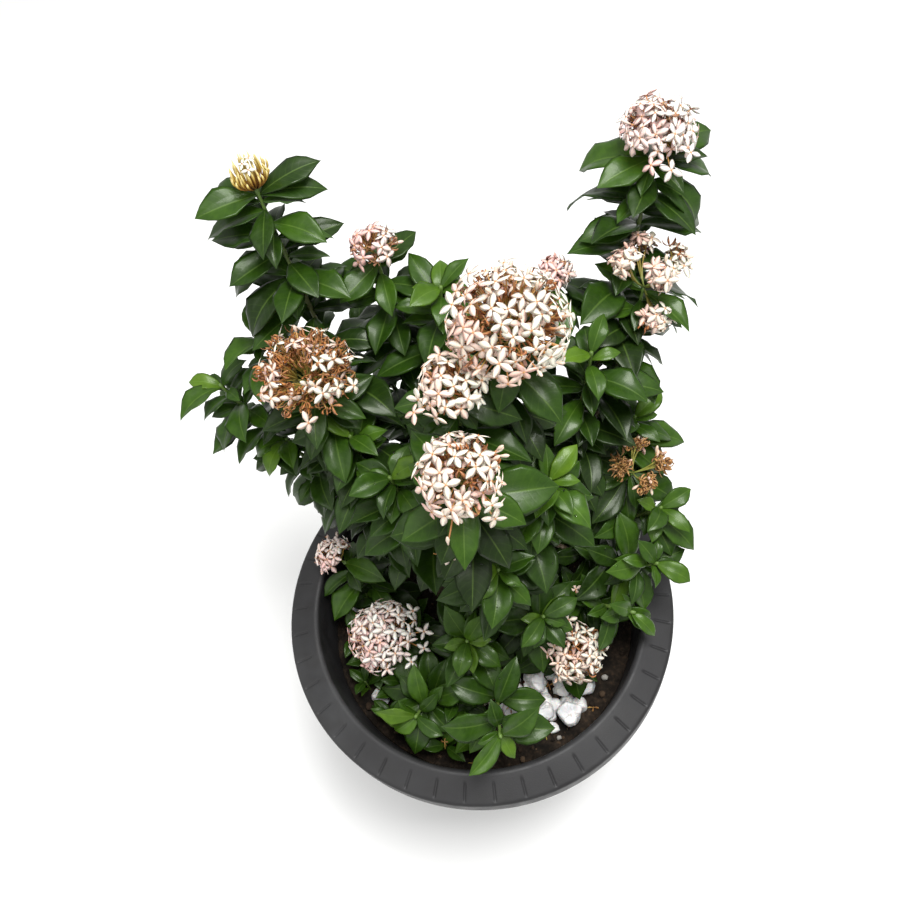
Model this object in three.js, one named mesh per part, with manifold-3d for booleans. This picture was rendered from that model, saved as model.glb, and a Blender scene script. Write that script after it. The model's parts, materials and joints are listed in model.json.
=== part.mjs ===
// A dwarf ixora in a round plastic planter: a bush of glossy opposite leaves on woody stems, with domed
// heads of four-petalled florets. The planter is filled with potting mix, and white marble pebbles lie
// on it. Millimetres, +Z up. The origin is the middle of the planter's underside.
import * as THREE from 'three'
import { mergeVertices } from 'three/addons/utils/BufferGeometryUtils.js'
import Module from 'manifold-3d'

const wasm = await Module()
wasm.setup()

// ---- Driving dimensions (mm, degrees) -----------------------------------------------------------

const SECTORS = 42 // the planter's sides, one for each groove of its rim
const RIM_RADIUS = 200
const LIP_RADIUS = 172
const LIP_HEIGHT = 320
const BASE_RADIUS = 134
const WALL = 3.2
const FLOOR = 8
const GROOVE = { from: 180, to: 196, depth: 1.6, halfWidth: 1.5 }
const DRAIN = { count: 4, circle: 92, radius: 7, sides: 6 }

const SOIL_HEIGHT = 262 // at the planter's wall
const SOIL_CROWN = 4 // how much higher the soil is in the middle
const ROOT_DEPTH = 30
const FLATNESS = 0.01 // corners nearer than this to a flat face or straight edge are dropped
const GAP = 0.35 // what touching pieces keep between them
const CLEARANCE = 0.4 // what a leaf or floret keeps from every other piece

const TRUNK = { radius: 7, top: 4.6, sides: 6, steps: 3 }
const BRANCH = { radius: 3.4, sides: 4, steps: 2 }
const SHOOT = { radius: 2.4, tip: 1.5, sides: 4, steps: 3 }

const LEAF_LENGTH = 56
const LEAF_ASPECT = 0.5 // width over length
const LEAF_FOLD = 0.2 // how far the margins stand above the midrib, over the half width
const LEAF_KEEL = 0.9 // the midrib's depth below the folded blade
const LEAF_STATIONS = [0.34, 0.76] // where the blade's margins have a corner
const LEAF_ROOT = 0.6 // how far from the middle of the stem a leaf starts
const LEAF_RISE = { foot: 74, tip: 40, underHead: 84 } // degrees from the shoot at a leaf's base
const LEAF_DROOP = { foot: 122, tip: 92 } // degrees from the shoot at a leaf's own tip
const LEAF_GROWTH = { grown: 1.04, young: 0.64 } // length of the lowest and the youngest leaves
// How young the highest leaves under a flower head are. At the tip of a plain shoot it is 1.
const HEAD_AGE = 0.6
const TOP_PAIR = 0.97 // where the highest pair grows, along the shoot
const UNEVEN = { turn: 56, rise: 18, droop: 26, size: 0.24 } // the spread of what each leaf draws
const LIGHT = [0.08, -0.36, 0.8] // how much, and which way, the leaves lean towards the light
const FLORET_RADIUS = 13
const PETAL_NOTCH = 0.5 // where two petals part, over the radius of the floret
const HEAD_STALK = 0.45 // from the tip of a shoot to the middle of its head, over the head's radius
const STALK = 2 // radius of a head's stalk
const CAP = { dome: 86, loose: 80, buds: 52 } // how far florets spread from a head's axis, in degrees
const FUNNEL = { dome: 0.5, loose: 0.8 } // depth of a floret under its petals, over the bunch's radius
const WITHERED = 0.75 // size of a withered floret
const GOLDEN_ANGLE = Math.PI * (3 - Math.sqrt(5))

// Woody stems: where each stands in the soil, and where it forks.
const TRUNKS = {
  left: { root: [-34, 36], fork: [-60, 84, 420] },
  centre: { root: [14, 2], fork: [22, 4, 470] },
  right: { root: [52, 40], fork: [108, 72, 410] },
  back: { root: [4, 74], fork: [6, 132, 430] },
}

// Leafy shoots. on: the woody stem that carries it, or 'soil'. start: its lower end (for 'soil', where
// it stands). tip: its upper end. pairs: leaf pairs. bare: the part of its length below the leaves.
// turn: direction of the lowest pair. leaf: size of its leaves, 1 for the usual size. lone: leaves that
// stand alone, each with its place along the shoot (0 to 1), its direction (0 is north, 90 west), how
// much more than usual it droops, and its size.
const SHOOTS = {
  back_left: {
    on: 'left', start: [-62, 146, 510], pairs: 8, bare: 0.1, turn: 35, leaf: 1.08,
    lone: [
      [0.97, 270, 20, 1], [0.97, 60, 30, 1], [0.93, 315, 30, 1], [0.9, 90, 20, 1], [0.8, 80, 0, 1],
      [0.7, 90, 50, 1.2], [0.6, 120, 50, 1.2], [0.6, 170, 0, 1], [0.55, 40, 0, 1.1], [0.5, 0, 0, 1.2],
    ],
  },
  left_head: { on: 'left', start: [-76, 112, 450], pairs: 5, bare: 0.2, turn: 10 },
  left_upper: {
    on: 'left', start: [-88, 142, 460], tip: [-134, 222, 548],
    pairs: 5, bare: 0.2, turn: 35, leaf: 1.1,
    lone: [[0.95, 130, 10, 1.2], [0.8, 160, 20, 1.2]],
  },
  left_outer: {
    on: 'left', start: [-100, 130, 424], tip: [-189, 210, 508],
    pairs: 5, bare: 0.3, turn: 85, leaf: 1.15,
    lone: [[0.97, 120, 10, 1.3], [0.75, 140, 30, 1]],
  },
  left_lower: {
    on: 'left', start: [-90, 104, 404], tip: [-142, 160, 462],
    pairs: 4, bare: 0.25, turn: 85, leaf: 1.1,
    lone: [[0.97, 140, 50, 1.2], [0.95, 100, 50, 1.2], [0.1, 75, 0, 1]],
  },
  left_inner: {
    on: 'left', start: [-66, 88, 430], tip: [-72, 106, 524],
    pairs: 5, bare: 0.1, turn: 55,
  },
  back_head: { on: 'back', start: [-4, 170, 470], pairs: 6, bare: 0.2, turn: 45 },
  back_mid: {
    on: 'back', start: [14, 160, 490], tip: [40, 186, 596],
    pairs: 6, bare: 0.2, turn: 35, leaf: 1.1,
  },
  back_right_head: { on: 'back', start: [60, 150, 470], pairs: 4, bare: 0.25, turn: 85 },
  back_low: {
    on: 'back', start: [-14, 176, 420], tip: [-46, 232, 500],
    pairs: 3, bare: 0.3, turn: 5, leaf: 1.1,
  },
  back_low_right: {
    on: 'back', start: [30, 170, 400], tip: [72, 226, 486],
    pairs: 4, bare: 0.3, turn: 15, leaf: 1.1,
  },
  top_head: { on: 'centre', start: [46, 34, 510], pairs: 6, bare: 0.3, turn: 25 },
  mid_head: { on: 'centre', start: [22, 24, 530], pairs: 5, bare: 0.25, turn: 60 },
  front_head: { on: 'centre', start: [16, -12, 510], pairs: 5, bare: 0.25, turn: 5, leaf: 1.15 },
  centre_right: {
    on: 'centre', start: [44, -8, 470], tip: [84, -4, 560],
    pairs: 6, bare: 0.25, turn: 35, leaf: 1.1,
  },
  centre_front: {
    on: 'centre', start: [20, -20, 430], tip: [26, -48, 510],
    pairs: 5, bare: 0.2, turn: 80,
  },
  centre_left: {
    on: 'centre', start: [-10, 14, 440], tip: [-44, 48, 536],
    pairs: 6, bare: 0.2, turn: 15, leaf: 1.1,
  },
  tall_right: {
    on: 'right', start: [146, 100, 490], pairs: 8, bare: 0.05, turn: 15, leaf: 1.12,
    lone: [
      [0.97, 300, 0, 1.3], [0.95, 270, 30, 1.3], [0.95, 60, 50, 1.2], [0.88, 240, 50, 1.1],
      [0.8, 50, 50, 1.3], [0.75, 270, 20, 1.2], [0.7, 100, 0, 0.9], [0.65, 260, 20, 1.3],
      [0.6, 90, 20, 1], [0.5, 250, 10, 1.2], [0.4, 240, 20, 1.2], [0.3, 270, 0, 1.2], [0.3, 0, 0, 1],
    ],
  },
  loose_head: { on: 'right', start: [158, 92, 490], pairs: 3, bare: 0.35, turn: 20 },
  right_mid: {
    on: 'right', start: [126, 78, 470], tip: [150, 100, 566],
    pairs: 4, bare: 0.15, turn: 40, leaf: 1.1,
    lone: [[0.6, 250, 0, 1.3], [0.1, 260, 20, 1.3]],
  },
  right_head: { on: 'right', start: [136, 62, 380], pairs: 5, bare: 0.15, turn: 45 },
  right_outer: {
    on: 'right', start: [140, 76, 410], tip: [190, 86, 462], pairs: 4, bare: 0.25, turn: 45,
    lone: [[0.65, 255, 0, 1.3], [0.5, 225, 0, 1.3]],
  },
  right_low: {
    on: 'right', start: [120, 40, 370], tip: [194, 10, 412], pairs: 4, bare: 0.3, turn: 25,
    lone: [[0.97, 210, 0, 1], [0.8, 225, 10, 1.3]],
  },
  right_front: {
    on: 'right', start: [100, 20, 350], tip: [176, -36, 392],
    pairs: 5, bare: 0.25, turn: 30,
  },
  low_right: { on: 'soil', start: [76, -10], tip: [146, -66, 356], pairs: 5, bare: 0.45, turn: 55 },
  low_mid_right: { on: 'soil', start: [44, -32], tip: [58, -58, 390], pairs: 6, bare: 0.35, turn: 15 },
  low_right_head: { on: 'soil', start: [62, -58], pairs: 3, bare: 0.3, turn: 45 },
  low_mid: { on: 'soil', start: [-14, -38], tip: [-18, -58, 376], pairs: 6, bare: 0.35, turn: 40 },
  low_front: { on: 'soil', start: [-2, -84], tip: [-9, -150, 366], pairs: 4, bare: 0.5, turn: 52 },
  low_left_front: {
    on: 'soil', start: [-58, -70], tip: [-86, -104, 330],
    pairs: 5, bare: 0.3, turn: 65,
  },
  low_left_head: { on: 'soil', start: [-76, -24], pairs: 3, bare: 0.3, turn: 10 },
  left_wall_head: { on: 'soil', start: [-94, 40], pairs: 3, bare: 0.4, turn: 35 },
}

// Flower heads, each at the tip of its shoot. at: the middle of its dome. florets: how many.
// form: 'dome', 'loose' (several small bunches), 'buds' (unopened).
const HEADS = {
  back_left: { at: [-88, 252, 702], radius: 15, florets: 16, form: 'buds', colour: 'bud' },
  left_head: { at: [-90, 135, 584], radius: 41, florets: 22, form: 'dome', colour: 'withering' },
  back_head: { at: [-8, 225, 618], radius: 21, florets: 8, form: 'dome', colour: 'blush' },
  back_right_head: { at: [143, 183, 577], radius: 14, florets: 5, form: 'dome', colour: 'blush' },
  top_head: { at: [74, 58, 690], radius: 43, florets: 26, form: 'dome', colour: 'white' },
  mid_head: { at: [25, 37, 661], radius: 25, florets: 9, form: 'dome', colour: 'white' },
  front_head: { at: [15, -29, 646], radius: 32, florets: 15, form: 'dome', colour: 'white' },
  tall_right: { at: [244, 226, 666], radius: 30, florets: 14, form: 'dome', colour: 'blush' },
  loose_head: { at: [218, 157, 579], radius: 34, florets: 12, form: 'loose', colour: 'white' },
  right_head: { at: [179, 43, 440], radius: 26, florets: 8, form: 'loose', colour: 'withered' },
  low_right_head: { at: [80, -78, 322], radius: 30, florets: 12, form: 'dome', colour: 'white' },
  low_left_head: { at: [-98, -17, 327], radius: 36, florets: 18, form: 'dome', colour: 'blush' },
  left_wall_head: { at: [-133, 78, 342], radius: 20, florets: 7, form: 'dome', colour: 'blush' },
}
// How a loose head is divided. spread is in radians.
const LOOSE = { bunches: 4, spread: 1.1, out: 0.7, size: 0.4 }

// Marble pebbles: where each lies on the soil, and its half length, half width and half height.
// turn: direction of its length.
const PEBBLES = [
  { at: [38, -83], half: [20, 12, 15], turn: -79 },
  { at: [10, -103], half: [17, 11, 11], turn: 9 },
  { at: [36, -117], half: [14, 12, 10], turn: 20 },
  { at: [63, -124], half: [15, 14, 12], turn: 60 },
  { at: [63, -97], half: [12, 11, 10], turn: 0 },
  { at: [87, -102], half: [12, 10, 10], turn: 40 },
  { at: [-132, 49], half: [12, 10, 9], turn: 60 },
  { at: [-124, -60], half: [12, 9, 8], turn: -60 },
  { at: [-108, -92], half: [10, 9, 8], turn: -40 },
]

// What a leaf tries, in this order, until it is clear of the rest: how far it turns round the stem,
// how far it lifts (both in degrees), and its size.
const LEAF_TRIES = [
  [0, 0, 1], [10, 4, 1], [-10, 4, 1], [0, -14, 1], [0, 12, 1], [18, -8, 1], [-18, -8, 1],
  [14, 14, 0.9], [-14, 14, 0.9], [0, -26, 0.9], [28, 0, 0.85], [-28, 0, 0.85], [0, 0, 0.75],
  [24, -22, 0.75], [-24, -22, 0.75], [40, -10, 0.7], [-40, -10, 0.7], [0, -34, 0.7],
]

const COLOURS = {
  planter: 0x3b3a3c,
  soil: 0x2c2219,
  marble: 0xe4e3df,
  bark: 0x5b4a38,
  leaf: 0x2f5a24,
  white: 0xf4ece4,
  blush: 0xf0cfc8,
  withering: 0xc98f63,
  withered: 0xa0683f,
  bud: 0xc9b94a,
}

// ---- Small tools --------------------------------------------------------------------------------

const UP = new THREE.Vector3(0, 0, 1)
const NORTH = new THREE.Vector3(0, 1, 0)
const radians = THREE.MathUtils.degToRad
const mix = THREE.MathUtils.lerp

function vector(array) {
  return new THREE.Vector3(...array)
}

// A repeatable draw from 0 to 1 for whole numbers a, b and c.
function chance(a, b, c) {
  const wave = Math.sin(a * 12.9898 + b * 78.233 + c * 37.719 + 1.7) * 43758.5453
  return wave - Math.floor(wave)
}

function shapeOf(corners, faces) {
  const geometry = new THREE.BufferGeometry()
  const positions = corners.flatMap(({ x, y, z }) => [x, y, z])
  geometry.setAttribute('position', new THREE.Float32BufferAttribute(positions, 3))
  geometry.setIndex(faces.flat())
  return geometry
}

function solidOf(geometry) {
  geometry.deleteAttribute('normal')
  geometry.deleteAttribute('uv')
  const merged = mergeVertices(geometry, 1e-3)
  return new wasm.Manifold(new wasm.Mesh({
    numProp: 3,
    vertProperties: new Float32Array(merged.attributes.position.array),
    triVerts: new Uint32Array(merged.index.array),
  }))
}

function geometryOf(solid) {
  const mesh = solid.simplify(FLATNESS).getMesh()
  const geometry = new THREE.BufferGeometry()
  geometry.setAttribute('position', new THREE.BufferAttribute(new Float32Array(mesh.vertProperties), 3))
  geometry.setIndex(new THREE.BufferAttribute(new Uint32Array(mesh.triVerts), 1))
  geometry.computeVertexNormals()
  return geometry
}

// A profile of [radius, height] points turned round the Z axis.
function turned(profile, sides) {
  const points = profile.map(([radius, height]) => new THREE.Vector2(radius, height))
  return new THREE.LatheGeometry(points, sides).rotateX(Math.PI / 2)
}

// Two directions square to an axis, the first as near to +Y as it can be.
function squareTo(axis) {
  const first = NORTH.clone().addScaledVector(axis, -NORTH.dot(axis)).normalize()
  return [first, axis.clone().cross(first)]
}

function around([first, second], angle) {
  return first.clone().multiplyScalar(Math.cos(angle)).addScaledVector(second, Math.sin(angle))
}

// A round stick through the points, each with its own direction, tapering from one radius to another.
// turn: where its first corner stands.
function stick(points, axes, radiusFrom, radiusTo, sides, turn = 0) {
  const corners = []
  const faces = []
  points.forEach((point, ring) => {
    const radius = mix(radiusFrom, radiusTo, ring / (points.length - 1))
    const frame = squareTo(axes[ring])
    for (let side = 0; side < sides; side++) {
      const angle = turn + (2 * Math.PI * side) / sides
      corners.push(point.clone().addScaledVector(around(frame, angle), radius))
    }
  })
  for (let ring = 1; ring < points.length; ring++) {
    for (let side = 0; side < sides; side++) {
      const [a, b] = [side, (side + 1) % sides].map((k) => (ring - 1) * sides + k)
      faces.push([a, b, b + sides], [a, b + sides, a + sides])
    }
  }
  const last = (points.length - 1) * sides
  for (let side = 2; side < sides; side++) {
    faces.push([0, side, side - 1], [last, last + side - 1, last + side])
  }
  return solidOf(shapeOf(corners, faces))
}

// ---- Clearance: every solid that stands already, with the piece that it belongs to ---------------

const standing = []

function boxOf(solid) {
  const { min, max } = solid.boundingBox()
  return new THREE.Box3(vector(min), vector(max))
}

function stand(piece, solid) {
  standing.push({ piece, solid, box: boxOf(solid) })
}

function isClear(piece, solid) {
  const box = boxOf(solid).expandByScalar(CLEARANCE)
  return standing.every((other) => other.piece === piece || !other.box.intersectsBox(box)
    || other.solid.minGap(solid, CLEARANCE) >= CLEARANCE)
}

// How much a leaf runs into the leaves of its own shoot (mm3).
function crowding(piece, solid) {
  const box = boxOf(solid)
  const own = standing.filter((other) => other.piece === piece && other.leaf)
    .filter((other) => other.box.intersectsBox(box))
  return own.reduce((sum, other) => sum + other.solid.intersect(solid).volume(), 0)
}

// ---- Planter ------------------------------------------------------------------------------------

function planter() {
  const skirt = LIP_HEIGHT - 34
  const shell = solidOf(turned([
    [0, 0], [BASE_RADIUS, 0], [LIP_RADIUS, LIP_HEIGHT - 6],
    [RIM_RADIUS - WALL, LIP_HEIGHT - 12], [RIM_RADIUS - WALL, skirt], [RIM_RADIUS, skirt],
    [RIM_RADIUS, LIP_HEIGHT - 9], [LIP_RADIUS + 5, LIP_HEIGHT - 1.5], [LIP_RADIUS, LIP_HEIGHT],
    [LIP_RADIUS - WALL - 1, LIP_HEIGHT - 2], [BASE_RADIUS - WALL, FLOOR], [0, FLOOR],
  ], SECTORS))
  const cuts = []
  const slope = 7.5 / (RIM_RADIUS - LIP_RADIUS - 5)
  const above = 1
  const wedge = [GROOVE.from, GROOVE.to].flatMap((radius) => {
    const height = LIP_HEIGHT - 1.5 - slope * (radius - LIP_RADIUS - 5)
    const half = (GROOVE.halfWidth * (GROOVE.depth + above)) / GROOVE.depth
    const top = height + above
    return [[radius, 0, height - GROOVE.depth], [radius, half, top], [radius, -half, top]]
  })
  const wedgeFaces = [
    [0, 2, 1], [3, 4, 5], [0, 1, 4], [0, 4, 3], [1, 2, 5], [1, 5, 4], [2, 0, 3], [2, 3, 5],
  ]
  for (let k = 0; k < SECTORS; k++) {
    const bar = shapeOf(wedge.map(vector), wedgeFaces)
    cuts.push(solidOf(bar.rotateZ((2 * Math.PI * (k + 0.5)) / SECTORS)))
  }
  for (let k = 0; k < DRAIN.count; k++) {
    const hole = new THREE.CylinderGeometry(DRAIN.radius, DRAIN.radius, 4 * FLOOR, DRAIN.sides)
    hole.rotateX(Math.PI / 2).translate(DRAIN.circle, 0, 0)
    cuts.push(solidOf(hole.rotateZ((2 * Math.PI * (k + 0.5)) / DRAIN.count)))
  }
  return shell.subtract(wasm.Manifold.union(cuts))
}

// ---- Soil ---------------------------------------------------------------------------------------

function soilHeight(x, y) {
  return SOIL_HEIGHT + SOIL_CROWN * (1 - Math.hypot(x, y) / wallRadius(SOIL_HEIGHT))
}

// The planter's inside radius at a height.
function wallRadius(height) {
  const rise = (height - FLOOR) / (LIP_HEIGHT - 2 - FLOOR)
  return mix(BASE_RADIUS - WALL, LIP_RADIUS - WALL - 1, rise)
}

function soil(roots) {
  const body = solidOf(turned([
    [0, FLOOR + GAP], [wallRadius(FLOOR) - GAP, FLOOR + GAP],
    [wallRadius(SOIL_HEIGHT) - GAP, SOIL_HEIGHT], [0, SOIL_HEIGHT + SOIL_CROWN],
  ], SECTORS))
  const holes = roots.map(({ at: [x, y], radius, sides, turn }) => {
    const deep = ROOT_DEPTH + GAP
    const hole = new THREE.CylinderGeometry(radius + GAP, radius + GAP, 2 * deep, sides)
    return solidOf(hole.rotateX(Math.PI / 2).rotateZ(turn).translate(x, y, soilHeight(x, y)))
  })
  return body.subtract(wasm.Manifold.union(holes))
}

// A chipped stone: a dodecahedron squeezed to its size, with its corners moved a little.
function pebble({ at: [x, y], half, turn }, index) {
  const facets = new THREE.DodecahedronGeometry(1, 0).deleteAttribute('normal').deleteAttribute('uv')
  const stone = mergeVertices(facets)
  const corners = stone.attributes.position
  for (let k = 0; k < corners.count; k++) {
    const shift = 0.85 + 0.3 * chance(index, k, 5)
    corners.setXYZ(k, corners.getX(k) * shift, corners.getY(k) * shift, corners.getZ(k) * shift)
  }
  stone.rotateX(chance(index, 1, 6) * 3).rotateZ(chance(index, 2, 6) * 6)
  stone.scale(...half).rotateZ(radians(turn))
  stone.computeBoundingBox()
  const inward = 1 - half[0] / Math.hypot(x, y)
  const highestSoil = soilHeight(x * inward, y * inward)
  return solidOf(stone.translate(x, y, highestSoil + GAP - stone.boundingBox.min.z))
}

// ---- Stems --------------------------------------------------------------------------------------

// A curve that leaves `start` along one direction and comes into `tip` along another.
function arch(start, middle, tip, steps) {
  const curve = new THREE.QuadraticBezierCurve3(start, middle, tip)
  const points = []
  const axes = []
  for (let k = 0; k <= steps; k++) {
    points.push(curve.getPoint(k / steps))
    axes.push(curve.getTangent(k / steps))
  }
  return { curve, points, axes }
}

// The point at t, from 0 to 1, of the straight runs between the points.
function along(points, t) {
  const run = Math.min(Math.floor(t * (points.length - 1)), points.length - 2)
  return points[run].clone().lerp(points[run + 1], t * (points.length - 1) - run)
}

// A shoot leaves its branch leaning, and its tip turns up. One from the soil starts straight up. One
// that has a flower head ends below the middle of it.
function shootArch(name) {
  const { on, start, tip } = SHOOTS[name]
  const foot = on === 'soil' ? new THREE.Vector3(...start, soilHeight(...start) + 2) : vector(start)
  const head = HEADS[name]
  const end = vector(head ? head.at : tip)
  if (on === 'soil') {
    const middle = new THREE.Vector3(foot.x, foot.y, mix(foot.z, end.z, 0.6))
    if (head) end.addScaledVector(end.clone().sub(middle).normalize(), -HEAD_STALK * head.radius)
    return arch(foot, middle, end, SHOOT.steps)
  }
  const lean = end.clone().sub(foot).normalize().add(UP).normalize()
  if (head) end.addScaledVector(lean, -HEAD_STALK * head.radius)
  const middle = end.clone().addScaledVector(lean, -0.5 * foot.distanceTo(end))
  return arch(foot, middle, end, SHOOT.steps)
}

function footed({ points, axes }) {
  const below = points[0].clone().setZ(points[0].z - 2 - ROOT_DEPTH)
  return { points: [below, ...points], axes: [UP.clone(), ...axes] }
}

function trunk(name) {
  const { root, fork } = TRUNKS[name]
  const foot = new THREE.Vector3(root[0], root[1], soilHeight(...root) + 2)
  const middle = new THREE.Vector3(root[0], root[1], mix(foot.z, fork[2], 0.5))
  const bend = arch(foot, middle, vector(fork), TRUNK.steps)
  const { points, axes } = footed(bend)
  const parts = [stick(points, axes, TRUNK.radius, TRUNK.top, TRUNK.sides)]
  for (const [shoot, { on }] of Object.entries(SHOOTS)) {
    if (on !== name) continue
    const next = shootArch(shoot)
    const heading = next.axes[0]
    const end = next.points[0].clone().addScaledVector(heading, -GAP)
    const reach = Math.hypot(end.x - foot.x, end.y - foot.y)
    const height = THREE.MathUtils.clamp((end.z - 0.8 * reach - foot.z) / (fork[2] - foot.z), 0.3, 0.96)
    const from = bend.curve.getPoint(height)
    const halfway = end.clone().addScaledVector(heading, -0.5 * from.distanceTo(end))
    const limb = arch(from, halfway, end, BRANCH.steps)
    parts.push(stick(limb.points, limb.axes, BRANCH.radius, SHOOT.radius, BRANCH.sides))
  }
  return wasm.Manifold.union(parts)
}

// Stems are square, and turned so that each leaf grows from the middle of a side.
function stemTurn(turn) {
  return radians(turn + 45)
}

function shootStem(name) {
  const bend = shootArch(name)
  const { points, axes } = SHOOTS[name].on === 'soil' ? footed(bend) : bend
  return stick(points, axes, SHOOT.radius, SHOOT.tip, SHOOT.sides, stemTurn(SHOOTS[name].turn))
}

// ---- Leaves -------------------------------------------------------------------------------------

// The leaves of a shoot: the lone ones, then the pairs from the top down. Each has its place along the
// shoot, its direction, and what it adds to the usual rise, droop and size.
function leavesOf(name) {
  const { pairs, bare, turn, lone = [] } = SHOOTS[name]
  const number = Object.keys(SHOOTS).indexOf(name)
  const leaves = lone.map(([place, bearing, droop, size]) => (
    { alone: true, place, bearing, rise: 0, droop, size }
  ))
  for (let pair = pairs - 1; pair >= 0; pair--) {
    for (const side of [0, 1]) {
      const draw = (c) => chance(number, 2 * pair + side, c) - 0.5
      leaves.push({
        alone: false,
        place: mix(bare, TOP_PAIR, pair / (pairs - 1)),
        bearing: turn + 90 * pair + 180 * side + UNEVEN.turn * draw(1),
        rise: UNEVEN.rise * draw(2),
        droop: UNEVEN.droop * draw(3),
        size: 1 + UNEVEN.size * draw(4),
      })
    }
  }
  return leaves
}

// Where a leaf grows and how it bends: its midrib is an arc that starts at `rise` degrees from the axis
// of the shoot and ends at `droop` degrees from it.
function leafPose(name, leaf, [turn, lift, size]) {
  const bend = shootArch(name)
  const age = (HEADS[name] ? HEAD_AGE : 1) * leaf.place
  const topRise = HEADS[name] ? LEAF_RISE.underHead : LEAF_RISE.tip
  const axis = bend.curve.getTangent(leaf.place).add(vector(LIGHT)).normalize()
  const out = around(squareTo(axis), radians(leaf.bearing + turn))
  const growth = mix(LEAF_GROWTH.grown, LEAF_GROWTH.young, age ** 3)
  return {
    base: along(bend.points, leaf.place).addScaledVector(out, LEAF_ROOT),
    axis,
    out,
    rise: radians(mix(LEAF_RISE.foot, topRise, leaf.place ** 2) + leaf.rise + lift),
    droop: radians(mix(LEAF_DROOP.foot, LEAF_DROOP.tip, age) + leaf.droop + lift),
    length: LEAF_LENGTH * (SHOOTS[name].leaf ?? 1) * growth * leaf.size * size,
  }
}

// Half the width of the blade at t, 0 at the stem and 1 at the tip.
function halfWidth(t, length) {
  return 0.5 * LEAF_ASPECT * length * Math.sin(Math.PI * t ** 1.15) ** 0.9
}

// The midrib's point and the blade's upward direction at t.
function midrib({ base, axis, out, rise, droop, length }, t) {
  const angle = mix(rise, droop, t)
  const bend = length / (droop - rise)
  const point = base.clone()
    .addScaledVector(axis, bend * (Math.sin(angle) - Math.sin(rise)))
    .addScaledVector(out, bend * (Math.cos(rise) - Math.cos(angle)))
  const face = axis.clone().multiplyScalar(Math.sin(angle)).addScaledVector(out, -Math.cos(angle))
  return { point, face }
}

// A blade that is flat across from margin to margin, over a keel that runs from end to end.
function leafSolid(pose) {
  const across = pose.out.clone().cross(pose.axis)
  const corners = [pose.base]
  for (const t of LEAF_STATIONS) {
    const { point, face } = midrib(pose, t)
    const half = halfWidth(t, pose.length)
    const margin = point.clone().addScaledVector(face, LEAF_FOLD * half)
    corners.push(margin.clone().addScaledVector(across, half))
    corners.push(margin.clone().addScaledVector(across, -half))
  }
  corners.push(midrib(pose, 1).point)
  const middle = midrib(pose, 0.5)
  corners.push(middle.point.addScaledVector(middle.face, -LEAF_KEEL))
  return solidOf(shapeOf(corners, [
    [0, 1, 2], [1, 3, 4], [1, 4, 2], [3, 5, 4],
    [1, 0, 6], [3, 1, 6], [5, 3, 6], [0, 2, 6], [2, 4, 6], [4, 5, 6],
  ]))
}

function growLeaf(name, leaf) {
  let best = null
  for (const attempt of LEAF_TRIES) {
    const solid = leafSolid(leafPose(name, leaf, attempt))
    if (!isClear(name, solid)) continue
    const crowded = crowding(name, solid)
    if (!best || crowded < best.crowded - 5) best = { solid, crowded }
    if (crowded < 5) break
  }
  if (best) standing.push({ piece: name, solid: best.solid, box: boxOf(best.solid), leaf: true })
  return best && best.solid
}

// ---- Flower heads -------------------------------------------------------------------------------

// Four kite-shaped petals over a square funnel that ends at a point inside the head.
function floret(centre, normal, spin, radius, funnel) {
  const frame = squareTo(normal)
  const corners = [
    centre.clone().addScaledVector(normal, 1.4),
    centre.clone().addScaledVector(normal, -funnel),
  ]
  for (let k = 0; k < 4; k++) {
    const angle = spin + (k * Math.PI) / 2
    corners.push(centre.clone().addScaledVector(around(frame, angle), radius))
    const notch = around(frame, angle + Math.PI / 4).multiplyScalar(PETAL_NOTCH * radius)
    corners.push(centre.clone().add(notch).addScaledVector(normal, -0.4))
  }
  const faces = []
  for (let k = 0; k < 4; k++) {
    const [tip, notch, before] = [2 + 2 * k, 3 + 2 * k, 3 + 2 * ((k + 3) % 4)]
    faces.push([0, tip, notch], [0, before, tip], [before, notch, tip], [before, 1, notch])
  }
  return solidOf(shapeOf(corners, faces))
}

// An unopened floret: a slim tube that widens to a pointed bud.
function bud(foot, direction, length) {
  const frame = squareTo(direction)
  const corners = [foot.clone()]
  for (let k = 0; k < 4; k++) {
    corners.push(foot.clone().addScaledVector(direction, 0.8 * length)
      .addScaledVector(around(frame, (k * Math.PI) / 2), 2))
  }
  corners.push(foot.clone().addScaledVector(direction, length))
  const faces = []
  for (let k = 0; k < 4; k++) {
    const [a, b] = [1 + k, 1 + ((k + 1) % 4)]
    faces.push([0, b, a], [a, b, 5])
  }
  return solidOf(shapeOf(corners, faces))
}

// The dense middle of a bunch, from the stem at `foot` out to the florets, through rings of [radius,
// height] and up to a pointed top. The lowest ring is square to the stem.
function bunchCore(foot, stemAxis, centre, sides, rings, top) {
  const axis = centre.clone().sub(foot).normalize()
  const corners = []
  rings.forEach(([width, height], ring) => {
    const frame = squareTo(ring === 0 ? stemAxis : axis)
    for (let side = 0; side < sides; side++) {
      corners.push(foot.clone().addScaledVector(axis, height)
        .addScaledVector(around(frame, (2 * Math.PI * side) / sides), width))
    }
  })
  corners.push(foot.clone().addScaledVector(axis, top))
  const faces = []
  const last = corners.length - 1
  for (let side = 2; side < sides; side++) faces.push([0, side, side - 1])
  for (let side = 0; side < sides; side++) {
    const next = (side + 1) % sides
    faces.push([last, last - sides + side, last - sides + next])
    for (let ring = 0; ring < rings.length - 1; ring++) {
      const [a, b] = [ring * sides + side, ring * sides + next]
      faces.push([a, b, b + sides], [a, b + sides, a + sides])
    }
  }
  return solidOf(shapeOf(corners, faces))
}

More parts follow.
